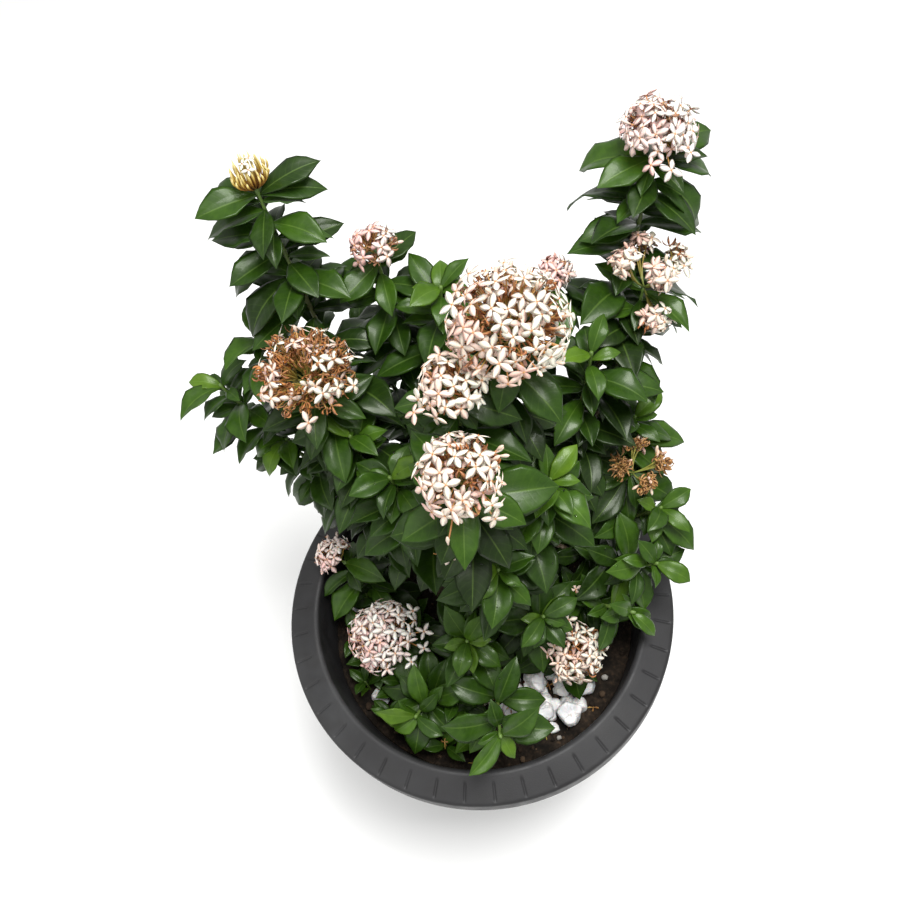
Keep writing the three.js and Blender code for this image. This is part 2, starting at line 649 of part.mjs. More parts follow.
// A dome's core is a shallow cone under a flat cap. A loose head's is a slim stalk that widens.
function domeCore(foot, stemAxis, centre, radius, sides) {
  const reach = centre.distanceTo(foot)
  const rings = [[STALK, 0], [0.68 * radius, reach], [0.46 * radius, reach + 0.5 * radius]]
  return bunchCore(foot, stemAxis, centre, sides, rings, reach + 0.68 * radius)
}

function looseCore(foot, stemAxis, centre, radius) {
  const reach = centre.distanceTo(foot)
  const rings = [[STALK, 0], [0.8 * STALK, 0.6 * reach], [0.62 * radius, reach]]
  return bunchCore(foot, stemAxis, centre, 4, rings, reach + 0.55 * radius)
}

// Directions spread evenly over a cap round an axis, out to `widest` from it.
function capDirections(axis, count, widest, turn) {
  const frame = squareTo(axis)
  return Array.from({ length: count }, (_, k) => {
    const cosine = 1 - ((k + 0.5) / count) * (1 - Math.cos(widest))
    return axis.clone().multiplyScalar(cosine)
      .addScaledVector(around(frame, turn + k * GOLDEN_ANGLE), Math.sqrt(1 - cosine * cosine))
  })
}

// The bunches of a head: one, or four that stand apart in a loose head.
function bunches({ at, radius, florets, form }, axis) {
  if (form !== 'loose') return [{ centre: vector(at), radius, florets, axis }]
  const frame = squareTo(axis)
  return Array.from({ length: LOOSE.bunches }, (_, k) => {
    const aside = around(frame, (2 * Math.PI * k) / LOOSE.bunches)
    const lean = axis.clone().multiplyScalar(Math.cos(LOOSE.spread))
    lean.addScaledVector(aside, Math.sin(LOOSE.spread))
    return {
      centre: vector(at).addScaledVector(lean, LOOSE.out * radius),
      radius: LOOSE.size * radius,
      florets: Math.round(florets / LOOSE.bunches),
      axis: lean,
    }
  })
}

function flowerHead(name) {
  const head = HEADS[name]
  const number = Object.keys(HEADS).indexOf(name)
  const bend = shootArch(name)
  const axis = bend.axes.at(-1)
  const foot = bend.points.at(-1).clone().addScaledVector(axis, GAP)
  const parts = []
  if (head.form === 'buds') {
    for (const direction of capDirections(axis, head.florets, radians(CAP.buds), 0)) {
      parts.push(bud(foot.clone().addScaledVector(axis, 4), direction, 2 * head.radius))
    }
    return { cores: [domeCore(foot, axis, vector(head.at), 0.6 * head.radius, 4)], florets: parts }
  }
  const cores = []
  const petals = FLORET_RADIUS * (head.colour === 'withered' ? WITHERED : 1)
  const core = head.form === 'loose' ? looseCore : domeCore
  bunches(head, axis).forEach(({ centre, radius, florets, axis: lean }, bunch) => {
    cores.push(core(foot, axis, centre, radius, 6))
    const funnel = FUNNEL[head.form] * radius + 1
    capDirections(lean, florets, radians(CAP[head.form]), number).forEach((direction, k) => {
      const out = radius * (0.95 + 0.1 * chance(number, k, 8 + bunch))
      const centreOfFloret = centre.clone().addScaledVector(direction, out)
      const spin = chance(number, k, 20 + bunch) * Math.PI
      parts.push(floret(centreOfFloret, direction, spin, petals, funnel))
    })
  })
  return { cores, florets: parts }
}

// ---- Assembly -----------------------------------------------------------------------------------

const model = new THREE.Group()

function add(name, solid, colour, roughness) {
  const material = new THREE.MeshStandardMaterial({ color: COLOURS[colour], roughness, metalness: 0 })
  const mesh = new THREE.Mesh(geometryOf(solid), material)
  mesh.name = name
  model.add(mesh)
}

const shootNames = Object.keys(SHOOTS)
const pot = planter()
stand('planter', pot)

const roots = Object.values(TRUNKS).map(({ root }) => ({ at: root, ...TRUNK, turn: 0 }))
for (const { on, start, turn } of Object.values(SHOOTS)) {
  if (on === 'soil') roots.push({ at: start, ...SHOOT, turn: stemTurn(turn) })
}
const ground = soil(roots)
stand('soil', ground)

const stones = PEBBLES.map(pebble)
stones.forEach((stone, k) => stand(`pebble_${k + 1}`, stone))

const trunks = {}
for (const name of Object.keys(TRUNKS)) {
  trunks[name] = trunk(name)
  stand(`woody_stem_${name}`, trunks[name])
}
const stems = {}
for (const name of shootNames) {
  stems[name] = shootStem(name)
  stand(name, stems[name])
}

const heads = {}
for (const name of Object.keys(HEADS)) {
  const piece = `head_${name}`
  const { cores, florets } = flowerHead(name)
  cores.forEach((core) => stand(piece, core))
  const kept = florets.filter((solid) => isClear(piece, solid))
  kept.forEach((solid) => stand(piece, solid))
  heads[name] = wasm.Manifold.union([...cores, ...kept])
}

const blades = Object.fromEntries(shootNames.map((name) => [name, []]))
for (const alone of [true, false]) {
  for (const name of shootNames) {
    for (const leaf of leavesOf(name).filter((each) => each.alone === alone)) {
      const blade = growLeaf(name, leaf)
      if (blade) blades[name].push(blade)
    }
  }
}
const shoots = {}
for (const name of shootNames) {
  shoots[name] = wasm.Manifold.union([stems[name], ...blades[name]])
}

add('planter', pot, 'planter', 0.55)
add('soil', ground, 'soil', 0.95)
stones.forEach((stone, k) => add(`pebble_${k + 1}`, stone, 'marble', 0.5))
for (const name of Object.keys(TRUNKS)) add(`woody_stem_${name}`, trunks[name], 'bark', 0.85)
for (const name of shootNames) add(`shoot_${name}`, shoots[name], 'leaf', 0.35)
for (const name of Object.keys(HEADS)) add(`flowers_${name}`, heads[name], HEADS[name].colour, 0.6)

export default model
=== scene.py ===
"""A dwarf ixora in a round plastic planter: its looks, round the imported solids. Metres, +Z up."""
import json
from math import cos, pi, radians, sin

import bmesh
import bpy
import numpy as np
from mathutils import Matrix, Vector
from mathutils.bvhtree import BVHTree

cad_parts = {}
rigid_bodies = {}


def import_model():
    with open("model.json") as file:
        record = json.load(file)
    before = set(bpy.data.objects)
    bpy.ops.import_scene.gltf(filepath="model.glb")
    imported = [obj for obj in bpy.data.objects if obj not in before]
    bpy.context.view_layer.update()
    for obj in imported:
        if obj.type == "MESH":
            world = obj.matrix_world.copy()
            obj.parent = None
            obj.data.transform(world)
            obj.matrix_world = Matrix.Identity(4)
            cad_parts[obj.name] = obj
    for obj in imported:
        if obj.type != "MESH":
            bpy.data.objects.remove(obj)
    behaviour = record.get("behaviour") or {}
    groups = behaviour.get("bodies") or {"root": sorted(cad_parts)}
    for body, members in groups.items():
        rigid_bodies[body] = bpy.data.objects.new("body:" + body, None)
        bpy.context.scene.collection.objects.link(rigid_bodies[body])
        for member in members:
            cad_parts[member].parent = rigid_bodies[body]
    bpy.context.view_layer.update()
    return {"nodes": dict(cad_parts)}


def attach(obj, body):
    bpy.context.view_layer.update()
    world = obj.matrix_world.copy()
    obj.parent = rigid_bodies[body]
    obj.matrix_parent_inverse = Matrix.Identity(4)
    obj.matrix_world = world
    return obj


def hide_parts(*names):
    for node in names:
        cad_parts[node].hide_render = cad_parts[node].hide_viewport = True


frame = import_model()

# ---- The view ------------------------------------------------------------------------------------
# The planter is seen from above its front, steeply down, with the camera turned a little to the left.
EYE = np.array([.012, -.324, 1.209])
TIPPED_DOWN = radians(60.4)
ROLLED = radians(-14.5)
LENS = 36  # mm
SENSOR = 36  # mm across

ahead = np.array([0, cos(TIPPED_DOWN), -sin(TIPPED_DOWN)])
level = np.array([1, 0, 0])
rise = np.cross(level, ahead)
rightward = cos(ROLLED) * level + sin(ROLLED) * rise
upward = cos(ROLLED) * rise - sin(ROLLED) * level
camera = bpy.data.objects.new("camera", bpy.data.cameras.new("camera"))
camera.data.lens = LENS
camera.data.sensor_width = SENSOR
facing = Matrix(np.array([rightward, upward, -ahead]).T.tolist()).to_4x4()
camera.matrix_world = Matrix.Translation(EYE) @ facing
bpy.context.collection.objects.link(camera)
bpy.context.scene.camera = camera

# ---- Floor and light -----------------------------------------------------------------------------
# A plain pale floor under a white sky, with one large soft lamp high on the right and a weaker one on the
# left, so that the glossy leaves get soft highlights.
FLOOR_HALF = 60  # half its width
FLOOR_TOP = -.0003  # just clear of the planter's base
FLOOR_COLOUR = (.9, .9, .89, 1)
SKY = .75
LAMPS_AIM = (0, .05, .4)
LAMPS = {  # place, width, power in watts
    "key_lamp": ((.45, -.05, 2.4), .9, 59),
    "fill_lamp": ((-1.1, -.7, 1.8), 1.4, 8),
}

bpy.context.scene.view_settings.view_transform = "Standard"
world = bpy.data.worlds.new("sky")
world.use_nodes = True
world.node_tree.nodes["Background"].inputs["Color"].default_value = (1, 1, 1, 1)
world.node_tree.nodes["Background"].inputs["Strength"].default_value = SKY
bpy.context.scene.world = world
for lamp_name, (place, width, power) in LAMPS.items():
    lamp = bpy.data.objects.new(lamp_name, bpy.data.lights.new(lamp_name, "AREA"))
    lamp.data.size = width
    lamp.data.energy = power
    lamp.location = place
    lamp.rotation_euler = (Vector(LAMPS_AIM) - Vector(place)).to_track_quat("-Z", "Y").to_euler()
    bpy.context.collection.objects.link(lamp)


def new_material(name, roughness, colour=(.5, .5, .5, 1), **sockets):
    """A material with one Principled shader. Sockets are named with _ for a space, such as Coat_Weight."""
    made = bpy.data.materials.new(name)
    made.use_nodes = True
    shader = made.node_tree.nodes["Principled BSDF"]
    shader.inputs["Base Color"].default_value = colour
    shader.inputs["Roughness"].default_value = roughness
    for socket, value in sockets.items():
        shader.inputs[socket.replace("_", " ")].default_value = value
    return made, made.node_tree, shader


floor_mesh = bpy.data.meshes.new("floor")
floor_corners = [(x, y, FLOOR_TOP) for x, y in ((-1, -1), (1, -1), (1, 1), (-1, 1))]
floor_mesh.from_pydata(floor_corners, [], [(0, 1, 2, 3)])
floor_mesh.transform(Matrix.Diagonal((FLOOR_HALF, FLOOR_HALF, 1, 1)))
floor_mesh.materials.append(new_material("pale_floor", .9, FLOOR_COLOUR)[0])
floor = bpy.data.objects.new("floor", floor_mesh)
bpy.context.collection.objects.link(floor)

# ---- Planter -------------------------------------------------------------------------------------
# One injection-moulded shell of charcoal plastic: a tapered body on a flat base with four drain holes, a
# broad sloping rim with a short radial groove in each of its 42 sectors, and a rounded lip.
SECTORS = 42
RIM_RADIUS = .2
LIP_RADIUS = .172
LIP_HEIGHT = .32
BASE_RADIUS = .134
WALL = .0032
FLOOR = .008
SLOPE = ((.177, .3185), (.2, .311))  # the rim's top, from the lip out to its edge
SLOPE_PARTS = 13  # runs of the slope's profile, so that the grooves have points along them
GROOVE = dict(begins=.1795, ends=.1965, run_out=.001, depth=.0017, half_width=.0015)
DRAIN = dict(count=4, circle=.092, radius=.007, sides=24)
CORNERS = [  # radius, height and how far the corner is rounded
    (0, 0, 0), (BASE_RADIUS, 0, .004), (LIP_RADIUS, LIP_HEIGHT - .006, .003),
    (RIM_RADIUS - WALL, LIP_HEIGHT - .012, .0015), (RIM_RADIUS - WALL, LIP_HEIGHT - .034, .0008),
    (RIM_RADIUS, LIP_HEIGHT - .034, .0008), (*SLOPE[1], .003), (*SLOPE[0], .003),
    (LIP_RADIUS, LIP_HEIGHT, .0022), (LIP_RADIUS - WALL - .001, LIP_HEIGHT - .002, .0018),
    (BASE_RADIUS - WALL, FLOOR, .005), (0, FLOOR, 0),
]
# Directions across one sector, in sectors from its groove: close together where the groove is.
ACROSS_SECTOR = np.array([-.5, -.32, -.15, -.09, -.065, -.035, 0, .035, .065, .09, .15, .32])
NO_MARKS = (0, 0, 0, 0)
MERGED = 1e-6  # points this close together are one point


def fract(x):
    """What x has past the whole number below it."""
    return x - np.floor(x)


def rounded(corners, steps=5):
    """A chain of [radius, height] in which each corner is a short curve: a quadratic arc that starts and
    ends its rounding's distance from the corner, along the two runs that meet there."""
    chain = []
    points = np.array([c[:2] for c in corners], float)
    for k, (*_, round_off) in enumerate(corners):
        if not round_off:
            chain.append(points[k:k + 1])
            continue
        before, after = (points[k + d] - points[k] for d in (-1, 1))
        start, end = (points[k] + round_off * run / np.linalg.norm(run) for run in (before, after))
        t = np.linspace(0, 1, steps)[:, None]
        chain.append((1 - t) ** 2 * start + 2 * t * (1 - t) * points[k] + t * t * end)
    return np.concatenate(chain)


def quads(rows, columns, copies):
    """Corner numbers of the quads of `copies` grids, each of rows x columns points, whose last column
    meets the first. The quads of the back half split along their other diagonal, so that both skins of a
    blade split alike."""
    row, column = np.meshgrid(np.arange(rows - 1), np.arange(columns), indexing="ij")
    here, beside = row * columns + column, row * columns + (column + 1) % columns
    one = np.stack([here, beside, beside + columns, here + columns], -1)
    one = np.where(column[..., None] < columns / 2, one, np.roll(one, -1, -1)).reshape(-1, 4)
    return (one + rows * columns * np.arange(copies)[:, None, None]).reshape(-1, 4)


def make_piece(name, grids, materials, slot, stands_for=()):
    """A closed piece made of grids of points, each with its shape (copies, rows, columns, 3), the number
    of its material, and marks: four values at each point that the materials read. Points that fall
    together, as at a tip or a pole, are merged, and the faces are turned outwards."""
    points, faces, marks, kinds = [], [], [], []
    first = 0
    for place, kind, mark in grids:
        copies, rows, columns = place.shape[:3]
        corners = quads(rows, columns, copies)
        points.append(place.reshape(-1, 3))
        faces.append(corners + first)
        marks.append(np.broadcast_to(mark, (*place.shape[:3], 4)).reshape(-1, 4))
        kinds.append(np.full(len(corners), kind))
        first += copies * rows * columns
    faces = np.concatenate(faces)
    mesh = bpy.data.meshes.new(name)
    mesh.vertices.add(first)
    mesh.vertices.foreach_set("co", np.concatenate(points).ravel())
    mesh.loops.add(faces.size)
    mesh.loops.foreach_set("vertex_index", faces.ravel())
    mesh.polygons.add(len(faces))
    mesh.polygons.foreach_set("loop_start", np.arange(len(faces)) * 4)
    mesh.polygons.foreach_set("material_index", np.concatenate(kinds))
    mesh.polygons.foreach_set("use_smooth", np.ones(len(faces), bool))
    marking = mesh.attributes.new("marks", "FLOAT_COLOR", "POINT")
    marking.data.foreach_set("color", np.concatenate(marks).ravel())
    mesh.update(calc_edges=True)
    work = bmesh.new()
    work.from_mesh(mesh)
    bmesh.ops.remove_doubles(work, verts=work.verts, dist=MERGED)
    bmesh.ops.recalc_face_normals(work, faces=work.faces)
    work.to_mesh(mesh)
    work.free()
    for material in materials:
        mesh.materials.append(material)
    made = bpy.data.objects.new(name, mesh)
    bpy.context.collection.objects.link(made)
    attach(made, "root")
    if stands_for:
        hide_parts(*stands_for)
    return made


def add_node(tree, kind, inputs=(), **settings):
    """A shader node. An input is a value, or another node's output to link."""
    made = tree.nodes.new(kind)
    for setting, value in settings.items():
        setattr(made, setting, value)
    for socket, value in dict(inputs).items():
        if isinstance(value, bpy.types.NodeSocket):
            tree.links.new(value, made.inputs[socket])
        else:
            made.inputs[socket].default_value = value
    return made


def math(tree, operation, *values):
    """A sum, product or other number worked out from values or other nodes' outputs."""
    return add_node(tree, "ShaderNodeMath", enumerate(values), operation=operation).outputs[0]


def ramp(tree, factor, stops):
    """Colours that follow a factor: stops are (place, colour)."""
    made = add_node(tree, "ShaderNodeValToRGB", {0: factor})
    for _ in stops[2:]:
        made.color_ramp.elements.new(.5)
    for element, (place, colour) in zip(made.color_ramp.elements, stops):
        element.position = place
        element.color = (*colour, 1)
    return made.outputs["Color"]


def read_marks(tree):
    """The four values that a piece's points carry."""
    marks = add_node(tree, "ShaderNodeAttribute", attribute_name="marks").outputs
    return *add_node(tree, "ShaderNodeSeparateXYZ", {0: marks["Vector"]}).outputs, marks["Alpha"]


def noise(tree, scale, detail=3, stretch=(1, 1, 1)):
    """Noise on the piece's own coordinates, scale per metre."""
    where = add_node(tree, "ShaderNodeTexCoord").outputs["Object"]
    mapped = add_node(tree, "ShaderNodeMapping", {"Vector": where, "Scale": stretch}).outputs[0]
    inputs = {"Vector": mapped, "Scale": scale, "Detail": detail}
    return add_node(tree, "ShaderNodeTexNoise", inputs).outputs["Fac"]


def blend(tree, factor, first, second, mode="MIX"):
    """A colour between two, or one put on the other by the mode."""
    sockets = {0: factor, 6: first, 7: second}
    return add_node(tree, "ShaderNodeMix", sockets, data_type="RGBA", blend_type=mode).outputs[2]


def bump(tree, shader, height, distance, strength=1.0):
    """Fine relief in the shading: a height of 1 stands out by the distance, in metres."""
    inputs = {"Height": height, "Distance": distance, "Strength": strength}
    made = add_node(tree, "ShaderNodeBump", inputs)
    tree.links.new(made.outputs[0], shader.inputs["Normal"])


profile = rounded(CORNERS)
slope_run = np.linspace(0, 1, SLOPE_PARTS + 1)[1:-1, None]
top_from = SLOPE[1][1] - .001  # the rim's top lies above this height
on_slope = np.flatnonzero((profile[:, 0] > GROOVE["ends"]) & (profile[:, 1] > top_from))[-1]
slope_points = profile[on_slope] + slope_run * (profile[on_slope + 1] - profile[on_slope])
profile = np.insert(profile, on_slope + 1, slope_points, axis=0)

turns = (np.arange(SECTORS)[:, None] + .5 + ACROSS_SECTOR).ravel() * 2 * pi / SECTORS
beside_groove = np.tile(ACROSS_SECTOR, SECTORS) * 2 * pi / SECTORS
radius, height = profile[:, :1], profile[:, 1:]
inside = np.clip((radius - GROOVE["begins"]) / GROOVE["run_out"], 0, 1)
inside = inside * np.clip((GROOVE["ends"] - radius) / GROOVE["run_out"], 0, 1)
dip = np.clip(1 - np.abs(radius * beside_groove) / GROOVE["half_width"], 0, 1)
height = height - GROOVE["depth"] * dip * inside * (height > top_from)
shell = np.stack([radius * np.cos(turns), radius * np.sin(turns), height], -1)[None]

charcoal, tree, shader = new_material("charcoal_plastic", .5, Specular_IOR_Level=.35)
dust = noise(tree, 9, 5)
grime = noise(tree, 55, 6)
tone = ramp(tree, dust, [(.3, (.012, .0115, .0125)), (.52, (.019, .0188, .0195)),
                         (.72, (.036, .0365, .0375))])
speckle = ramp(tree, grime, [(.35, (.82, .80, .78)), (.6, (1, 1, 1)), (.8, (1.15, 1.14, 1.12))])
tree.links.new(blend(tree, 1.0, tone, speckle, "MULTIPLY"), shader.inputs["Base Color"])
tree.links.new(ramp(tree, grime, [(.3, (.42,) * 3), (.7, (.62,) * 3)]), shader.inputs["Roughness"])
bump(tree, shader, noise(tree, 900, 2), .0002, .5)

planter = make_piece("planter_shell", [(shell, 0, NO_MARKS)], [charcoal], "planter", ["planter"])
plug = bmesh.new()
for k in range(DRAIN["count"]):
    turn = (k + .5) * 2 * pi / DRAIN["count"]
    at = Matrix.Translation((DRAIN["circle"] * cos(turn), DRAIN["circle"] * sin(turn), 0))
    bmesh.ops.create_cone(plug, cap_ends=True, segments=DRAIN["sides"], radius1=DRAIN["radius"],
                          radius2=DRAIN["radius"], depth=4 * FLOOR, matrix=at)
plug_mesh = bpy.data.meshes.new("drain_cutter")
plug.to_mesh(plug_mesh)
plug.free()
cutter = bpy.data.objects.new("drain_cutter", plug_mesh)
bpy.context.collection.objects.link(cutter)
cut = planter.modifiers.new("drain_holes", "BOOLEAN")
cut.operation = "DIFFERENCE"
cut.solver = "EXACT"
cut.object = cutter
cut_mesh = bpy.data.meshes.new_from_object(planter.evaluated_get(bpy.context.evaluated_depsgraph_get()))
planter.modifiers.remove(cut)
planter.data = cut_mesh
planter.data.name = "planter_shell"
bpy.data.objects.remove(cutter)

# ---- Potting mix ---------------------------------------------------------------------------------
# Dark, crumbly potting mix fills the planter to about 6 cm below the lip, a little higher in the middle.
# Chips of bark and perlite lie loose on top.
SOIL_HEIGHT = .262  # at the planter's wall
SOIL_CROWN = .004  # how much higher it is in the middle
SOIL_EDGE = .006  # how far the crumbly top reaches down at the wall
SOIL_GRID = dict(rings=80, spokes=240)
GAP = .00035  # between pieces that would touch
CRUMBS = ((.013, .0042), (.006, .003), (.0028, .0018))  # of three sizes: how wide and how high they are
BITS = dict(count=420, within=(.02, .93), size=(.0009, .0034), sunk=.3, rows=5, columns=6)  # the loose chips


def wall_radius(height):
    """The planter's inside radius at a height: it widens evenly from the floor to the lip."""
    return np.interp(height, [FLOOR, LIP_HEIGHT - .002], [BASE_RADIUS - WALL, LIP_RADIUS - WALL - .001])


def lumps(x, y, size, seed):
    """Heights from 0 to 1 on a square lattice of that size, each a hash of its place, blended smoothly
    between."""
    def at(i, j):
        """The height at a corner of the lattice."""
        return fract(np.sin(i * 127.1 + j * 311.7 + seed * 74.7) * 43758.5453)
    i, j = np.floor(x / size), np.floor(y / size)
    u, v = fract(x / size), fract(y / size)
    u, v = u * u * (3 - 2 * u), v * v * (3 - 2 * v)
    near = at(i, j) * (1 - u) + at(i + 1, j) * u
    far = at(i, j + 1) * (1 - u) + at(i + 1, j + 1) * u
    return near * (1 - v) + far * v


def soil_height(x, y):
    """The plain soil: a low cone, by the crown higher in the middle than at the wall."""
    return SOIL_HEIGHT + SOIL_CROWN * (1 - np.hypot(x, y) / wall_radius(SOIL_HEIGHT))


def soil_surface(x, y):
    """The plain soil height, with crumbs of three sizes on it."""
    crumbs = enumerate(CRUMBS, 1)
    return soil_height(x, y) + sum(high * (lumps(x, y, wide, seed) - .5) for seed, (wide, high) in crumbs)


rim_of_soil = wall_radius(SOIL_HEIGHT) - GAP
turns = np.linspace(0, 2 * pi, SOIL_GRID["spokes"], endpoint=False)
radii = rim_of_soil * np.linspace(0, 1, SOIL_GRID["rings"])[:, None]
x, y = radii * np.cos(turns), radii * np.sin(turns)
top = np.stack([x, y, soil_surface(x, y)], -1)
under = np.array([
    [rim_of_soil, SOIL_HEIGHT - SOIL_EDGE], [wall_radius(FLOOR) - GAP, FLOOR + GAP], [0, FLOOR + GAP]])
side = np.stack([under[:, :1] * np.cos(turns), under[:, :1] * np.sin(turns), under[:, 1:] + 0 * turns], -1)
soil_body = np.concatenate([top, side])[None]


def soil_material():
    """Nearly black, with browner patches and pale specks."""
    made, tree, shader = new_material("potting_mix", .95, Specular_IOR_Level=.2)
    fine = noise(tree, 260, 6)
    patches = ramp(tree, noise(tree, 45, 4), [(.35, (.006, .0045, .003)), (.65, (.026, .018, .012))])
    specks = ramp(tree, fine, [(.3, (.5, .45, .4)), (.55, (1, 1, 1)), (.72, (2.2, 1.9, 1.6))])
    tree.links.new(blend(tree, 1.0, patches, specks, "MULTIPLY"), shader.inputs["Base Color"])
    bump(tree, shader, fine, .0015, .8)
    return made


potting_mix = soil_material()
make_piece("soil_crumbly", [(soil_body, 0, NO_MARKS)], [potting_mix], "soil", ["soil"])

dice = np.random.default_rng(7)
count = BITS["count"]
reach = rim_of_soil * np.sqrt(dice.uniform(*BITS["within"], count))
bearing = dice.uniform(0, 2 * pi, count)
size = dice.uniform(*BITS["size"], count) * dice.choice([1, 1.5], count)
ring_turn = np.linspace(0, 2 * pi, BITS["columns"], endpoint=False)
ring_tilt = np.linspace(-pi / 2, pi / 2, BITS["rows"])[:, None]
ball = np.stack([np.cos(ring_tilt) * np.cos(ring_turn), np.cos(ring_tilt) * np.sin(ring_turn),
                 np.sin(ring_tilt) + 0 * ring_turn], -1)
grain = ball * dice.uniform(.75, 1.2, (count, *ball.shape[:2], 1))
grain[:, [0, -1]] = grain[:, [0, -1], :1]
grain *= (size[:, None] * dice.uniform(.6, 1.3, (count, 3)))[:, None, None]
tilt = bearing[:, None, None] * 3
lean_x = grain[..., 0] * np.cos(tilt) - grain[..., 2] * np.sin(tilt)
lean_z = grain[..., 0] * np.sin(tilt) + grain[..., 2] * np.cos(tilt)
at_x, at_y = reach * np.cos(bearing), reach * np.sin(bearing)
place = np.stack([lean_x + at_x[:, None, None], grain[..., 1] + at_y[:, None, None],
                  lean_z + (soil_surface(at_x, at_y) + BITS["sunk"] * size)[:, None, None]], -1)
kind = dice.uniform(0, 1, count)[:, None, None, None] * np.ones(4)
chips, tree, shader = new_material("bark_and_perlite", .9, Specular_IOR_Level=.25)
which = read_marks(tree)[0]
tone = ramp(tree, which, [(0, (.012, .008, .005)), (.55, (.045, .027, .015)), (.86, (.13, .085, .05)),
                          (.9, (.42, .40, .36))])
tree.links.new(blend(tree, .5, tone, noise(tree, 700, 3), "MULTIPLY"), shader.inputs["Base Color"])
bump(tree, shader, noise(tree, 1500, 3), .0006)
make_piece("soil_chips", [(place, 0, kind)], [chips], "soil")

# ---- Marble pebbles ------------------------------------------------------------------------------
# Chipped white marble, with the corners knocked off, grey clouds and a few darker veins. The stones lie
# loose on the potting mix.
PEBBLES = 9
GOLDEN_ANGLE = pi * (3 - 5 ** .5)
CUTS = 24  # flat faces of a stone
BLUNTNESS = 40  # the higher, the sharper the stones' edges
STONE_GRID = dict(rows=30, columns=44)
CHIPS = dict(count=28, middle=(.034, -.104), spread=(.046, .032), half=(.004, .0085), rows=14, columns=20)


def unit(v):
    """Arrows along the last axis, each made 1 long."""
    return v / np.linalg.norm(v, axis=-1, keepdims=True)


def knocked_stone(corners, seed, rows, columns):
    """A lump with flat faces, which stand about as far out as the corners reach. In each direction its
    surface is where the sum of the faces' closeness, each to a high power, reaches 1. Its middle is the
    middle of the corners."""
    draw = np.random.default_rng(seed)
    middle = (corners.min(0) + corners.max(0)) / 2
    k = np.arange(CUTS)
    height, turn = 1 - (2 * k + 1) / CUTS, k * GOLDEN_ANGLE + seed
    out = np.sqrt(1 - height ** 2)
    normals = np.stack([out * np.cos(turn), out * np.sin(turn), height], -1)
    normals = unit(normals + draw.normal(0, .2, (CUTS, 3)))
    depths = ((corners - middle) @ normals.T).max(0) * draw.uniform(.76, 1.03, CUTS)
    tilt = np.linspace(-pi / 2, pi / 2, rows)[:, None]
    turn = np.linspace(0, 2 * pi, columns, endpoint=False)
    way = np.stack([np.cos(tilt) * np.cos(turn), np.cos(tilt) * np.sin(turn), np.sin(tilt) + 0 * turn], -1)
    way[[0, -1]] = way[[0, -1], :1]
    near = np.clip(way @ (normals / depths[:, None]).T, 0, None)
    reach = (near ** BLUNTNESS).sum(-1) ** (-1 / BLUNTNESS)
    u, v = 8 * tilt + 3 * np.sin(turn) + 7 * seed, 8 * np.cos(turn) + 6 * tilt
    reach = reach * (1 - .05 * lumps(u, v, 1.1, 5) - .05 * lumps(u, v, .4, 6))
    reach[[0, -1]] = reach[[0, -1], :1]
    return (middle + way * reach[..., None])[None]


marble, tree, shader = new_material("white_marble", .42, Subsurface_Weight=.15, Subsurface_Scale=.004)
cloud = ramp(tree, noise(tree, 60, 5), [(.35, (.52, .52, .53)), (.55, (.80, .79, .77)),
                                        (.7, (.90, .89, .86))])
vein = ramp(tree, noise(tree, 35, 8, (1, 2, 1)), [(.47, (1, 1, 1)), (.5, (.62, .60, .58)),
                                                  (.53, (1, 1, 1))])
tree.links.new(blend(tree, 1.0, cloud, vein, "MULTIPLY"), shader.inputs["Base Color"])
bump(tree, shader, noise(tree, 500, 6), .0008, .7)
for k in range(1, PEBBLES + 1):
    corners = np.array([v.co for v in frame["nodes"][f"pebble_{k}"].data.vertices])
    stone = knocked_stone(corners, k, **STONE_GRID)
    make_piece(f"marble_{k}", [(stone, 0, NO_MARKS)], [marble], "marble", [f"pebble_{k}"])

# Smaller chips lie between the stones of the largest group.
box_corners = np.array([[x, y, z] for x in (-1, 1) for y in (-1, 1) for z in (-1, 1)])
chip_grids = []
for k in range(CHIPS["count"]):
    seed = 50 + k
    draw = np.random.default_rng(seed)
    out = np.sqrt((k + .5) / CHIPS["count"])
    aside = np.array([cos(k * GOLDEN_ANGLE), sin(k * GOLDEN_ANGLE)]) * out
    aside = aside * CHIPS["spread"] + CHIPS["middle"]
    half = draw.uniform(*CHIPS["half"]) * draw.uniform(.6, 1, 3)
    middle = [*aside, soil_surface(*aside) + .4 * half[2]]
    chip = knocked_stone(middle + box_corners * half, seed, CHIPS["rows"], CHIPS["columns"])
    chip_grids.append((chip, 0, NO_MARKS))
make_piece("marble_chips", chip_grids, [marble], "marble")

# ---- Woody stems ---------------------------------------------------------------------------------
# Four old stems stand in the soil and fork below the leaves, with thin bark that is cracked lengthwise.
# Each carries its leafy shoots on short side branches.
TRUNK = dict(radius=.007, top=.0046, buried=.00875, rings=28, sides=14)
LIMB = dict(radius=.0034, rings=14, sides=10, slope=.8, forks=(.3, .96))  # a limb forks off at this slope
SHOOT = dict(radius=.0024, tip=.0015, steps=3)  # the solid shoots are bent in this many straight runs
ROOT_DEPTH = .03
FOOT_RISE = .002  # a stem's curve starts this far above the plain soil
HEAD_STALK = .45  # from the tip of a shoot to the middle of its flower head, over the head's radius
TRUNKS = {
    "left": dict(root=(-.034, .036), fork=(-.06, .084, .42)),
    "centre": dict(root=(.014, .002), fork=(.022, .004, .47)),
    "right": dict(root=(.052, .04), fork=(.108, .072, .41)),
    "back": dict(root=(.004, .074), fork=(.006, .132, .43)),
}
